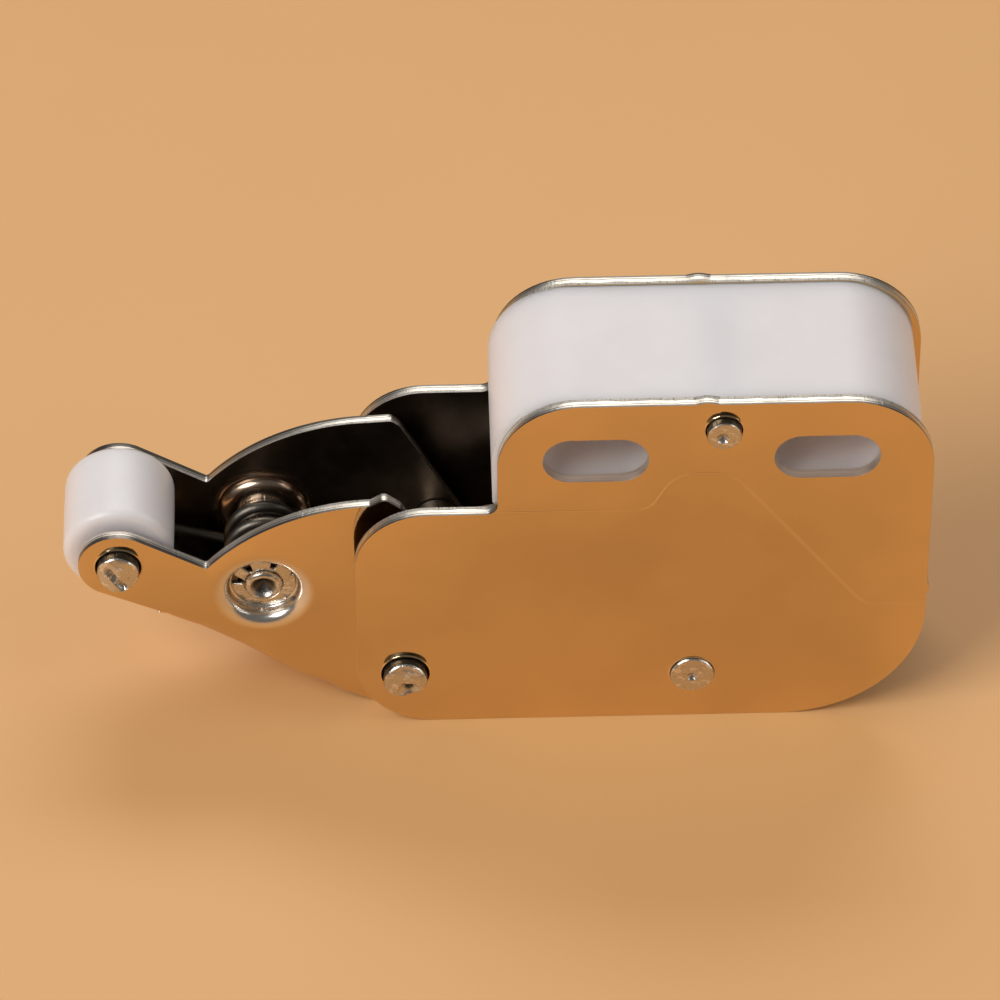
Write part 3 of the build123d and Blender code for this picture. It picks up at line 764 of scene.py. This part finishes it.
ARCH_CORNERS = [
    (13.4, 27.0),
    (27.2, 27.0),
    (29.5, 31.5),
    (34.5, 31.5),
    (47.2, 14.35),
    (52.7, 14.2),
]
ARCH_RADII = [1.9, 3.4, 4.0, 1.5]


def arch_line():
    """Line that the lower edge of the block presses into the sheet."""
    places = [Vector(p) for p in ARCH_CORNERS]
    line = [places[0]]
    for i, radius in enumerate(ARCH_RADII, 1):
        line += corner_arc(places[i - 1], places[i], places[i + 1], radius, math.radians(16))
    return [*line, places[-1]]


def pin_place(node):
    """Profile place of a pin, from the lower left corner of the side plates."""
    at = middle(node)
    return mm(at.x - LEFT), mm(at.z - BOTTOM)


COLLAR = [
    (0.0, 0.0),
    (0.06, 0.0),
    (0.25, -0.06),
    (0.45, -0.09),
    (0.65, -0.06),
    (0.82, 0.04),
    (0.93, 0.18),
    (1.0, 0.42),
]


def raised_collar(shape, x, y, hole, rim, side, face):
    """Low rounded collar that riveting raises round a hole in the sheet."""
    wide = rim - hole
    shape.lathe(x, y, [(rim - t * wide, side * (face - deep)) for t, deep in COLLAR], 96)


# Radius of each pin's shank, and of the collar that is raised round it on the front plate.
PLATE_PINS = {"top_rivet": (1.5, 1.84), "bottom_rivet": (1.8, 2.32), "pivot_pin": (2.05, 2.41)}


class CATCH_OT_plates(Operator):
    """Makes the two stamped side plates with their rolled and sheared edges"""

    bl_idname = "catch.plates"
    bl_label = "Side plates"

    def execute(self, context):
        settings, finish = context.scene.catch_plates, context.scene.catch_finish
        marked = bright_nickel(
            "bright_nickel_plate", finish, arch_line(), mm(settings.witness_line)
        )
        plain = bright_nickel("bright_nickel_rear", finish)
        spread = mm(settings.slot_spacing + settings.slot_length + settings.slot_width) / 2
        rise = mm(settings.slot_width) / 2 + 0.3
        x, y = mm(-LEFT), mm(-BOTTOM)
        lips = (x - spread, x + spread, y - rise, y + rise)
        inside_depth = HALF_DEPTH - settings.thickness
        edge = sheared_edge("sheared_plate_edge", finish, inside_depth, HALF_DEPTH, lips)
        inner = inner_sheet_with_painted_shade("dull_plate_inside", finish, margins=(50.5, 38.0))
        gap, half = mm(settings.hole_clearance), mm(HALF_DEPTH)
        for name, side, face in (("front", -1, marked), ("rear", 1, plain)):
            shape = Shape(CORNER)
            holes = []
            for pin, (radius, rim) in PLATE_PINS.items():
                x, y = pin_place(pin)
                if side < 0:
                    holes.append(circle(x, y, rim, 96))
                    raised_collar(shape, x, y, radius + 5 * gap, rim, side, half)
                else:
                    holes.append(circle(x, y, radius + gap, 96))
            outlines = [plate_outline(settings), *slots(settings), *holes]
            shape.fill(outlines, side * half, side < 0)
            piece = shape.finished(f"{name}_plate_sheet", face, edge, inner)
            face_outwards(piece)
            stack = sheet_modifiers(settings.thickness, settings.edge)
            settle(piece, "housing", f"{name}_side_plate", stack)
        return {"FINISHED"}


class CATCH_OT_block(Operator):
    """Makes the moulded nylon block between the plates"""

    bl_idname = "catch.block"
    bl_label = "Nylon block"

    def execute(self, context):
        plates, settings = context.scene.catch_plates, context.scene.catch_block
        finish = context.scene.catch_finish
        left = mm(plates.step - settings.overhang)
        right = mm(plates.length - settings.side_inset)
        top = mm(plates.height - settings.top_inset)
        corners = [
            ((left, 27.0), 0.5),
            ((27.2, 27.0), 0.5),
            ((29.5, 31.5), 4.0),
            ((34.5, 31.5), 4.5),
            ((47.0, 14.3), 0.5),
            ((right, 14.3), 0.5),
            ((right, top), 7.2),
            ((left, top), 7.5),
        ]
        low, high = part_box("spacer_block")
        shape = Shape(CORNER)
        hole = circle(*pin_place("top_rivet"), 1.55)
        shape.fill([rounded(corners), *slots(plates), hole], mm(low.y - CENTRE))
        nylon = moulded_nylon("moulded_nylon", finish, 0.38)
        walls = moulded_nylon("moulded_nylon_slots", finish, 0.45, depth=12.0)
        piece = shape.finished("nylon_block", nylon, walls)
        face_outwards(piece)
        stack = sheet_modifiers(high.y - low.y, settings.edge, rim=0)
        settle(piece, "housing", "spacer_block", stack)
        spacing, margin = mm(plates.slot_spacing) / 2, 0.4
        long = mm(plates.slot_length + plates.slot_width) / 2 + margin
        tall = mm(plates.slot_width) / 2 + margin
        for face in piece.data.polygons:
            x, _, z = (mm(c) for c in face.center)
            if abs(abs(x) - spacing) < long and abs(z) < tall:
                face.material_index = 1
        return {"FINISHED"}


# ------------------------------------------------------------------ roller arm


def web_place(settings, along, outwards):
    """Arm profile place, measured along the web and outwards from the pivot."""
    slope = settings.web_slope
    x = along * math.cos(slope) - outwards * math.sin(slope)
    y = -along * math.sin(slope) - outwards * math.cos(slope)
    return Vector((x, y))


# Bow of the web's outer face at even places from the roller's end to the heel.
WEB_BOW = [-0.22, -0.16, -0.26, -0.42, -0.40, -0.36, -0.30, -0.18]
WEB_BOW += [0.0, 0.18, 0.31, 0.29, 0.15, -0.05, -0.28]


def web_line(settings, start=-22.7, end=-2.0, count=72):
    """Places along the web: the distance of its bowed outer face and the radius of its bends."""
    made = []
    last = len(WEB_BOW) - 1
    for i in range(count + 1):
        place = i / count * last
        first = min(int(place), last - 1)
        t = place - first
        t = t * t * (3 - 2 * t) * 0.4 + t * 0.6
        bow = WEB_BOW[first] + (WEB_BOW[first + 1] - WEB_BOW[first]) * t
        along = start + (end - start) * i / count
        bend = min(1.0, 0.45 + (along - start) / 1.6, 0.12 + (end - along) / 3.2)
        distance = mm(settings.web_distance) + bow * mm(settings.bow)
        made.append((along, distance, mm(settings.bend) * bend))
    return made


def cheek_outline(settings, tip):
    """Outline of a cheek, anticlockwise from the lower tangent of the roller end.

    It runs along the web and round the heel to the tail, up the back to the tip, and down over
    the brow into the notch behind the roller.
    """
    reach = (ROLLER - PIVOT) / MM
    end = Vector((reach.x, reach.z))
    radius, slope = mm(settings.end_radius), settings.web_slope
    distance = radius - end.x * math.sin(slope) - end.y * math.cos(slope)
    notch, brow = Vector((-18.25, 11.75)), Vector((-11.4, 17.15))
    root, back = Vector((-2.6, 19.25)), Vector((-0.1, 18.75))
    tail, heel = Vector((6.6, 5.5)), mm(settings.heel_radius)
    low, far = Vector((0, -heel)), Vector((heel, 0))
    along = end.x * math.cos(slope) - end.y * math.sin(slope)
    points = [web_place(settings, along, distance)]
    points += [web_place(settings, a, d - bend) for a, d, bend in web_line(settings)]
    points += corner_arc(points[-1], Vector((-3.0, -heel)), low, 3.0, math.radians(3))
    points += [*circle(0, 0, heel, 96)[72:], far]
    points += corner_arc(far, tail, back, 3.0, math.radians(5))
    points += corner_arc(tail, back, tip, 0.8, math.radians(12))
    points += corner_arc(back, tip, root, 0.6, math.radians(12))
    brow_arc = arc_through(root, brow, notch, 60)
    points += brow_arc[1:-1]
    gap = notch - end
    bearing = math.atan2(-gap.y, -gap.x) - math.asin(radius / gap.length)
    flank = math.sqrt(gap.length_squared - radius**2)
    flank_end = polar(flank, bearing, *notch)
    points += corner_arc(brow_arc[-3], notch, flank_end, 0.3, math.radians(15))
    first = math.atan2(flank_end.y - end.y, flank_end.x - end.x)
    turn, count = 1.5 * math.pi - slope - first, 40
    return [*points, *(polar(radius, first + turn * i / count, *end) for i in range(count))]


# Radii and depths of a dished cup, from the flat cheek to the hole in the cup's floor.
CUP = [
    (4.95, 0.0),
    (4.75, 0.0),
    (4.50, 0.03),
    (4.25, 0.09),
    (4.00, 0.17),
    (3.78, 0.28),
    (3.60, 0.42),
    (3.46, 0.60),
    (3.38, 0.84),
    (3.34, 1.16),
    (3.28, 1.38),
    (3.18, 1.51),
    (3.06, 1.55),
    (2.42, 1.55),
]


def cup_thickness(radius, depth):
    """Share of the sheet's thickness that is left where the cup is drawn."""
    if depth <= 0.3 or radius >= 4.2:
        return 1.0
    return 0.55 if radius < 3.25 else 0.8


def cheek_lean(settings, x, depth):
    """Depth of a point of the arm with the cheeks leaning outwards towards the roller."""
    lean = mm(settings.splay) * -x / mm(PIVOT.x - ROLLER.x)
    half = mm(settings.width) / 2
    return depth + math.copysign(lean, depth) * min(1.0, abs(depth) / half)


class CATCH_OT_arm(Operator):
    """Makes the folded roller arm: cheeks, cups, bends and web in one sheet"""

    bl_idname = "catch.arm"
    bl_label = "Roller arm"

    def execute(self, context):
        settings, finish = context.scene.catch_arm, context.scene.catch_finish
        half = mm(settings.width) / 2
        shape = Shape(PIVOT)
        end, post = (ROLLER - PIVOT) / MM, (POST - PIVOT) / MM
        link = (middle("link_pin") - PIVOT) / MM
        pivot_hole, link_hole, end_hole, rim = 2.1, 1.02, 2.0, 2.32
        holes = [
            circle(0, 0, pivot_hole),
            circle(end.x, end.z, rim, 96),
            circle(link.x, link.z, link_hole, 32),
            circle(post.x, post.z, CUP[0][0], 96),
        ]
        for side, tip in ((-1, Vector((-1.75, 20.15))), (1, Vector((-0.85, 19.4)))):
            shape.fill([cheek_outline(settings, tip), *holes], side * half, side < 0)
            profile = [(radius, side * (half - depth)) for radius, depth in CUP]
            shape.lathe(post.x, post.z, profile, 96)
            raised_collar(shape, end.x, end.z, end_hole, rim, side, half)
        turns = [math.pi / 2 * i / 8 for i in range(9)]
        sections = []
        for along, distance, bend in web_line(settings):
            section = []
            for side, order in ((-1, turns), (1, turns[::-1])):
                for t in order:
                    place = web_place(settings, along, distance - bend + bend * math.sin(t))
                    section.append(shape.vert(*place, side * (half - bend + bend * math.cos(t))))
            sections.append(section)
        shape.rings(sections, closed=False)
        for vert in shape.mesh.verts:
            vert.co.y = cheek_lean(settings, vert.co.x, vert.co.y)
        metal = bright_nickel("bright_nickel_arm", finish, cup=POST)
        outer = settings.width / 2
        edge = sheared_edge("sheared_arm_edge", finish, outer - settings.thickness, outer)
        inner = inner_sheet_with_painted_shade("dull_arm_inside", finish, POST)
        piece = shape.finished("roller_arm_sheet", metal, edge, inner)
        thinned = piece.vertex_groups.new(name="thickness")
        for vert in piece.data.vertices:
            radius = mm(math.hypot(vert.co.x - POST.x, vert.co.z - POST.z))
            depth = half - abs(mm(vert.co.y - CENTRE))
            thinned.add([vert.index], cup_thickness(radius, depth), "REPLACE")
        face_outwards(piece)
        stack = sheet_modifiers(settings.thickness, settings.edge)
        stack[0][1]["vertex_group"] = thinned.name
        settle(piece, "arm", "latch_arm", stack)
        piece.vertex_groups.clear()
        return {"FINISHED"}


# ------------------------------------------------------------------ roller and pins


class CATCH_OT_roller(Operator):
    """Makes the nylon roller"""

    bl_idname = "catch.roller"
    bl_label = "Roller"

    def execute(self, context):
        settings = context.scene.catch_roller
        low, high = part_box("roller")
        half, radius = mm(high.y - low.y) / 2, mm(high.x - low.x) / 2
        edge, crown = mm(settings.edge), mm(settings.crown)
        bore = mm(settings.pin_radius) + 0.06
        chamfer, steps = 0.35, 12
        near = [(bore, -half + chamfer), (bore + chamfer, -half)]
        for i in range(steps + 1):
            t = math.pi / 2 * i / steps
            wide = radius - crown - edge + edge * math.sin(t)
            near.append((wide, -half + edge - edge * math.cos(t)))
        profile = list(near)
        for i in range(1, steps):
            t = i / steps
            wide = radius - crown + crown * math.sin(math.pi * t)
            profile.append((wide, (2 * t - 1) * (half - edge)))
        profile += [(r, -depth) for r, depth in reversed(near)]
        profile.append(profile[0])
        shape = Shape(ROLLER)
        shape.lathe(0, 0, profile, 144)
        nylon = moulded_nylon("roller_nylon", context.scene.catch_finish, 0.30, turned=True)
        settle(shape.finished("nylon_roller", nylon), "roller", "roller")
        return {"FINISHED"}


# How far the rear ends of the pins stay inside the rear plate's face.
FLUSH = 0.01


def cap_profile(radius, edge, rings=18):
    """Radii and falls of a pin's end, from its middle to its rim."""
    made = []
    for i in range(rings + 1):
        r = radius * i / rings
        fall = 0.0
        if r > radius - edge:
            t = (r - (radius - edge)) / edge
            fall = edge * (1 - math.sqrt(max(0.0, 1 - t * t)))
        made.append((r, fall))
    return made


def facets(planes, pit=None, seed=0.0, dent=0.05, groove=None):
    """Height of a hammered end: the lowest of some tilted planes, dents, a pit and a groove.

    A plane is its level and its slopes, a pit its middle, radius and depth, and a groove its two
    ends, half width and depth.
    """

    def fall(radius, turn):
        x, y = polar(radius, turn)
        height = min([0.0, *(level - dx * x - dy * y for level, dx, dy in planes)])
        height -= dent * (0.5 + noise.noise(Vector((x * 1.4 + seed, y * 1.4, seed))))
        if pit:
            px, py, wide, deep = pit
            away = math.hypot(x - px, y - py)
            height -= deep * max(0.0, 1 - away / wide) ** 0.7
        if groove:
            ax, ay, bx, by, wide, deep = groove
            run = Vector((bx - ax, by - ay))
            t = max(0.0, min(1.0, Vector((x - ax, y - ay)).dot(run) / run.length_squared))
            away = math.hypot(x - ax - run.x * t, y - ay - run.y * t)
            height -= deep * max(0.0, 1 - away / wide)
        return height

    return fall


def stub(shape, radius, start, end, edge, fall, segments):
    """A pin's end from one depth to another, closed with a worked face."""
    side = 1 if end > start else -1
    profile = [(r, end - side * drop) for r, drop in cap_profile(radius, edge)]

    def shift(r, turn, depth):
        return 0.0 if depth == start else side * fall(r, turn)

    shape.lathe(0, 0, [*profile, (radius, start)], segments, shift)


class CATCH_OT_pins(Operator):
    """Makes the pivot pin and the roller pin with their hammered ends"""

    bl_idname = "catch.pins"
    bl_label = "Pivot and roller pins"

    def execute(self, context):
        settings, finish = context.scene.catch_pins, context.scene.catch_finish
        segments, dent = settings.segments, mm(settings.dent)
        low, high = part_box("pivot_pin")
        radius = PLATE_PINS["pivot_pin"][0]
        shape = Shape(PIVOT)
        planes = [(0.24, 0.04, 0.34), (0.0, -0.06, 0.02), (0.05, 0.14, -0.20)]
        pit, groove = (0.30, -1.05, 1.05, 0.75), (0.30, -1.0, -0.25, -0.1, 0.3, 0.2)
        worked = facets(planes, pit, 3.0, dent, groove)
        stub(shape, radius, 0.0, mm(low.y - CENTRE), 0.16, worked, segments)
        flat = facets([], None, 8.0, dent * 0.5)
        stub(shape, radius, 0.0, mm(high.y - CENTRE) - FLUSH, 0.12, flat, segments)
        steel = peened_steel("pivot_pin_steel", finish, PIVOT, radius, (0.32, -1.0, 0.62, 0.0))
        piece = shape.finished("pivot_pin_peened", steel)
        settle(piece, "housing", "pivot_pin", sharp=28)
        low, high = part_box("roller_pin")
        radius = mm(context.scene.catch_roller.pin_radius)
        shape = Shape(ROLLER)
        front_planes = [(0.16, -0.05, 0.36), (-0.05, -0.30, 0.10), (0.0, 0.22, 0.06)]
        rear_planes = [(0.0, 0.30, -0.30), (-0.05, -0.34, -0.12), (0.02, 0.05, 0.30)]
        ends = (
            (low.y, front_planes, 5.0, (-0.95, 0.55, 0.45, -1.30, 0.40, 0.50)),
            (high.y, rear_planes, 6.5, (-0.4, -1.0, 0.5, 0.9, 0.3, 0.3)),
        )
        for end, planes, seed, groove in ends:
            worked = facets(planes, None, seed, dent, groove)
            stub(shape, radius, 0.0, mm(end - CENTRE), 0.15, worked, segments)
        steel = peened_steel("roller_pin_steel", finish, ROLLER, radius)
        piece = shape.finished("roller_pin_peened", steel)
        settle(piece, "arm", "roller_pin", sharp=28)
        return {"FINISHED"}


class CATCH_OT_rivets(Operator):
    """Makes the two rivets of the body with their formed heads"""

    bl_idname = "catch.rivets"
    bl_label = "Body rivets"

    def execute(self, context):
        settings, finish = context.scene.catch_pins, context.scene.catch_finish
        segments, dent, seat = settings.segments, mm(settings.dent), -mm(HALF_DEPTH) + 0.001
        heads = {
            "top_rivet": (1.58, (-0.12, -0.15, 0.6, 0.5), 11.0),
            "bottom_rivet": (2.08, (0.0, -0.1, 0.5, 0.42), 13.0),
        }
        for node, (head, punch, seed) in heads.items():
            shank = PLATE_PINS[node][0]
            low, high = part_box(node)
            at = middle(node)
            shape = Shape(at)
            worked = facets([(0.10, 0.02, 0.12), (0.02, 0.03, -0.04)], punch, seed, dent)
            stub(shape, head, seat, mm(low.y - CENTRE), 0.16, worked, segments)
            shape.lathe(0, 0, [(head, seat), (shank, seat), (shank, 0)], segments)
            flat = facets([], None, seed + 2, dent * 0.5)
            stub(shape, shank, 0.0, mm(high.y - CENTRE) - FLUSH, 0.1, flat, segments)
            steel = peened_steel(f"{node}_steel", finish, at, head)
            piece = shape.finished(f"{node}_formed", steel)
            settle(piece, "housing", node, sharp=32)
        return {"FINISHED"}


# ------------------------------------------------------------------ spring and spring post


def spring_path(settings):
    """Places of the spring wire's middle, from the short leg's tip to the long leg's tip."""
    arm, clearance = bpy.context.scene.catch_arm, 0.05
    coil, wire = mm(settings.coil), mm(settings.wire)
    post = (POST - PIVOT) / MM
    slope = arm.web_slope
    reach = math.hypot(coil, mm(settings.short_leg))
    rise = mm(arm.web_distance - arm.thickness) - wire - clearance
    rise += post.x * math.sin(slope) + post.z * math.cos(slope)
    short = slope - math.atan2(mm(settings.short_leg), coil) + math.acos(rise / reach)
    sleeve_low, sleeve_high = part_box("bottom_spacer_sleeve")
    sleeve = (sleeve_low + sleeve_high) / 2
    sleeve_radius = mm(sleeve_high.x - sleeve_low.x) / 2
    gap = Vector((mm(sleeve.x - POST.x), mm(sleeve.z - POST.z)))
    bearing = coil + sleeve_radius + wire + clearance
    long = -math.atan2(gap.y, gap.x) - math.asin(bearing / gap.length)
    long_length = math.sqrt(gap.length_squared - bearing**2) + mm(settings.overhang)
    first = -math.pi / 2 - short
    wound = 2 * math.pi * settings.turns - long + short
    span = mm(settings.span)
    climb = span / wound
    path = []
    x, z = polar(coil, first)
    start = Vector((x, span / 2, z))
    along = Vector((-math.cos(short), climb / coil, math.sin(short))).normalized()
    steps = 16
    for i in range(steps):
        path.append(start + along * (mm(settings.short_leg) * (1 - i / steps)))
    steps = 60 * settings.turns
    for i in range(steps + 1):
        turned = wound * i / steps
        x, z = polar(coil, first + turned)
        path.append(Vector((x, span / 2 - climb * turned, z)))
    end, steps, settling = path[-1], 60, 1.25
    for i in range(1, steps + 1):
        out = long_length * i / steps
        drift = -climb / coil * settling * (1 - math.exp(-out / settling))
        x, z = polar(out, -long)
        path.append(end + Vector((x, drift, z)))
    return [p + Vector((post.x, 0, post.z)) for p in path]


def wire_tree(material):
    """Geometry nodes that draw a round wire along a path."""
    tree = bpy.data.node_groups.new("Wire along a path", "GeometryNodeTree")
    tree.interface.new_socket("Geometry", in_out="INPUT", socket_type="NodeSocketGeometry")
    radius = tree.interface.new_socket("Wire radius", in_out="INPUT", socket_type="NodeSocketFloat")
    sides = tree.interface.new_socket("Sides", in_out="INPUT", socket_type="NodeSocketInt")
    tree.interface.new_socket("Geometry", in_out="OUTPUT", socket_type="NodeSocketGeometry")
    add = tree.nodes.new
    begin, end = add("NodeGroupInput"), add("NodeGroupOutput")
    curve, ring = add("GeometryNodeMeshToCurve"), add("GeometryNodeCurvePrimitiveCircle")
    tube, realize = add("GeometryNodeCurveToMesh"), add("GeometryNodeRealizeInstances")
    paint = add("GeometryNodeSetMaterial")
    paint.inputs["Material"].default_value = material
    tube.inputs["Fill Caps"].default_value = True
    join = tree.links.new
    join(begin.outputs[0], curve.inputs[0])
    join(begin.outputs[1], ring.inputs["Radius"])
    join(begin.outputs[2], ring.inputs["Resolution"])
    join(curve.outputs[0], tube.inputs["Curve"])
    join(ring.outputs[0], tube.inputs["Profile Curve"])
    join(tube.outputs[0], realize.inputs[0])
    join(realize.outputs[0], paint.inputs[0])
    join(paint.outputs[0], end.inputs[0])
    return tree, radius.identifier, sides.identifier


class CATCH_OT_spring(Operator):
    """Winds the torsion spring and lays its two legs"""

    bl_idname = "catch.spring"
    bl_label = "Torsion spring"

    def execute(self, context):
        settings = context.scene.catch_spring
        wire = drawn_wire("spring_wire", context.scene.catch_finish)
        data = bpy.data.meshes.new("spring_path")
        origin = Vector((PIVOT.x, CENTRE, PIVOT.z))
        path = [origin + p * MM for p in spring_path(settings)]
        data.from_pydata(path, [(i, i + 1) for i in range(len(path) - 1)], [])
        piece = bpy.data.objects.new("torsion_spring_wire", data)
        context.scene.collection.objects.link(piece)
        tree, radius, sides = wire_tree(wire)
        modifier = piece.modifiers.new("Wire", "NODES")
        modifier.node_group = tree
        modifier[radius] = settings.wire
        modifier[sides] = 24
        graph = context.evaluated_depsgraph_get()
        made = bpy.data.meshes.new_from_object(piece.evaluated_get(graph))
        piece.modifiers.clear()
        piece.data = made
        for polygon in made.polygons:
            polygon.use_smooth = True
        made.set_sharp_from_angle(angle=math.radians(50))
        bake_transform(piece)
        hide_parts("torsion_spring")
        return {"FINISHED"}


# Tears of the sleeve's flange: bearing and half width in degrees, and how far each one reaches in.
TEARS = [
    (67, 8, 0.95),
    (124, 9, 1.05),
    (168, 11, 1.1),
    (262, 4, 0.25),
    (318, 4, 0.2),
    (24, 3, 0.2),
]
# Height of the flange over the cup's floor, from its bore at 0 to its torn rim at 1.
FLANGE = [
    (0.0, 0.36),
    (0.12, 0.48),
    (0.35, 0.50),
    (0.6, 0.44),
    (0.8, 0.38),
    (0.93, 0.34),
    (0.99, 0.26),
    (1.0, 0.12),
    (1.0, 0.0),
]
FLANGE_RADIUS = 2.98
SLEEVE_BORE = 1.75


def flange_rim(turn, side):
    """Radius of the torn and ragged rim at a bearing in degrees."""
    tear = 0.0
    for at, wide, deep in TEARS:
        away = abs((turn - at + 180) % 360 - 180)
        tear = max(tear, deep * min(1.0, max(0.0, 2.2 * (1 - away / wide))))
    rag = 0.035 * noise.noise(Vector((*polar(5, math.radians(turn)), side)))
    return FLANGE_RADIUS - tear + rag


def flared_end(shape, side, floor, segments=240):
    """Flange of the spring post's sleeve: torn into petals and flared over its cup's floor."""
    rings = []
    for share_out, height in FLANGE:
        ring = []
        for i in range(segments):
            turn = 360 * i / segments
            t = math.radians(turn)
            radius = SLEEVE_BORE + (flange_rim(turn, side) - SLEEVE_BORE) * share_out
            wave = 0.05 * noise.noise(Vector((*polar(2, t), 4 + side)))
            depth = side * (floor + height + wave * share_out)
            ring.append(shape.vert(*polar(radius, t), depth))
        rings.append(ring)
    shape.rings(rings)


class CATCH_OT_post(Operator):
    """Makes the spring post: a split and flared sleeve round a solid core pin"""

    bl_idname = "catch.post"
    bl_label = "Spring post"

    def execute(self, context):
        finish, segments = context.scene.catch_finish, context.scene.catch_pins.segments
        floor = mm(context.scene.catch_arm.width) / 2 - CUP[-1][1] + 0.02
        shape = Shape(POST)
        for side in (-1, 1):
            flared_end(shape, side, floor)
        for radius, reach in ((2.4, floor + 0.02), (SLEEVE_BORE, floor + FLANGE[0][1])):
            shape.lathe(0, 0, [(radius, -reach), (radius, reach)], segments)
        steel = peened_steel("post_sleeve_steel", finish, POST, 3.3)
        piece = shape.finished("spring_post_flared", steel)
        settle(piece, "arm", "spring_post_sleeve")
        low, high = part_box("spring_post_pin")
        radius = 1.8
        shape = Shape(POST)
        for end in (low.y, high.y):
            cone = facets([], (0, 0, 1.22, 1.0), 17.0 + end, 0.01)
            stub(shape, radius, 0.0, mm(end - CENTRE), 0.5, cone, segments)
        steel = peened_steel("post_pin_steel", finish, POST, radius, (0, 0, 1.2, 20.0))
        piece = shape.finished("spring_post_core", steel)
        settle(piece, "arm", "spring_post_pin", sharp=32)
        return {"FINISHED"}


class CATCH_OT_inner(Operator):
    """Finishes the inner pieces that keep their CAD shape"""

    bl_idname = "catch.inner"
    bl_label = "Inner pieces"

    def execute(self, context):
        finish = context.scene.catch_finish
        steel = turned_steel("turned_steel", finish)
        names = ["bottom_spacer_sleeve", "front_pivot_washer", "rear_pivot_washer", "pivot_sleeve"]
        dress([*names, "link_pin", "catch_link"], steel)
        dress(["cam_plate"], moulded_nylon("cam_acetal", finish, 0.42))
        return {"FINISHED"}


# ------------------------------------------------------------------ stage


def softbox(name, place, aim, size, power, tone=(1, 1, 1)):
    """A large soft lamp aimed at a place."""
    lamp = bpy.data.lights.new(name, "AREA")
    lamp.shape = "RECTANGLE"
    lamp.size, lamp.size_y = size
    lamp.energy = power
    lamp.color = tone
    made = bpy.data.objects.new(name, lamp)
    made.location = place
    made.rotation_euler = (Vector(aim) - Vector(place)).to_track_quat("-Z", "Y").to_euler()
    bpy.context.scene.collection.objects.link(made)
    return made


class CATCH_OT_stage(Operator):
    """Sets the floor, the soft studio light and the camera"""

    bl_idname = "catch.stage"
    bl_label = "Stage"

    def execute(self, context):
        settings, scene = context.scene.catch_stage, context.scene
        data = bpy.data.meshes.new("floor")
        wide = 3.0
        square = ((-wide, -wide), (wide, -wide), (wide, wide), (-wide, wide))
        data.from_pydata([(x, y, BOTTOM - 0.02 * MM) for x, y in square], [], [(0, 1, 2, 3)])
        floor = bpy.data.objects.new("floor", data)
        scene.collection.objects.link(floor)
        f = Finish("floor_paint")
        tone = f.clouds(f.at(), 0.02, 3.0)
        light, dark = shades(settings.floor, 1.02, 0.97)
        data.materials.append(f.made(tone.blend(light, dark), 0.5, metal=0.0))
        world = bpy.data.worlds.new("studio")
        world.use_nodes = True
        sky = world.node_tree.nodes["Background"].inputs
        sky["Color"].default_value = (1.0, 0.98, 0.95, 1)
        sky["Strength"].default_value = 0.12
        scene.world = world
        aim = Vector((0, CENTRE, BOTTOM + 0.02))
        softbox("key", (-0.60, -0.42, 0.66), aim, (0.60, 0.50), 6.2)
        softbox("back", (0.05, 0.62, 0.78), aim, (0.80, 0.34), 3.0, (1.0, 0.96, 0.90))
        softbox("side", (0.80, -0.15, 0.45), aim, (0.35, 0.60), 1.6)
        camera = bpy.data.objects.new("camera", bpy.data.cameras.new("camera"))
        camera.data.lens = settings.lens
        camera.data.sensor_width = 36.0
        camera.data.clip_start, camera.data.clip_end = 0.01, 20.0
        turn = Matrix.Rotation(-settings.heading, 3, "Z")
        turn = turn @ Matrix.Rotation(math.pi / 2 - settings.elevation, 3, "X")
        turn = turn @ Matrix.Rotation(settings.roll, 3, "Z")
        camera.rotation_euler = turn.to_euler()
        camera.location = settings.location
        scene.collection.objects.link(camera)
        scene.camera = camera
        scene.view_settings.view_transform = "Standard"
        return {"FINISHED"}


# ------------------------------------------------------------------ panel and registration


class CATCH_PT_panel(Panel):
    """Lists the pieces of the catch"""

    bl_label = "Push to open catch"
    bl_idname = "CATCH_PT_panel"
    bl_space_type = "VIEW_3D"
    bl_region_type = "UI"
    bl_category = "Catch"

    def draw(self, context):
        for operator in OPERATORS:
            self.layout.operator(operator.bl_idname)


SETTINGS = {
    "catch_plates": PlateSettings,
    "catch_block": BlockSettings,
    "catch_arm": ArmSettings,
    "catch_roller": RollerSettings,
    "catch_pins": PinSettings,
    "catch_spring": SpringSettings,
    "catch_finish": FinishSettings,
    "catch_stage": StageSettings,
}
OPERATORS = [
    CATCH_OT_stage,
    CATCH_OT_plates,
    CATCH_OT_block,
    CATCH_OT_arm,
    CATCH_OT_roller,
    CATCH_OT_pins,
    CATCH_OT_rivets,
    CATCH_OT_spring,
    CATCH_OT_post,
    CATCH_OT_inner,
]


def register():
    for kind in [*SETTINGS.values(), *OPERATORS, CATCH_PT_panel]:
        bpy.utils.register_class(kind)
    for name, kind in SETTINGS.items():
        setattr(bpy.types.Scene, name, PointerProperty(type=kind))


def unregister():
    for name in SETTINGS:
        delattr(bpy.types.Scene, name)
    for kind in reversed([*SETTINGS.values(), *OPERATORS, CATCH_PT_panel]):
        bpy.utils.unregister_class(kind)


def main():
    register()
    for operator in OPERATORS:
        group, name = operator.bl_idname.split(".")
        getattr(getattr(bpy.ops, group), name)()


if __name__ == "__main__":
    main()
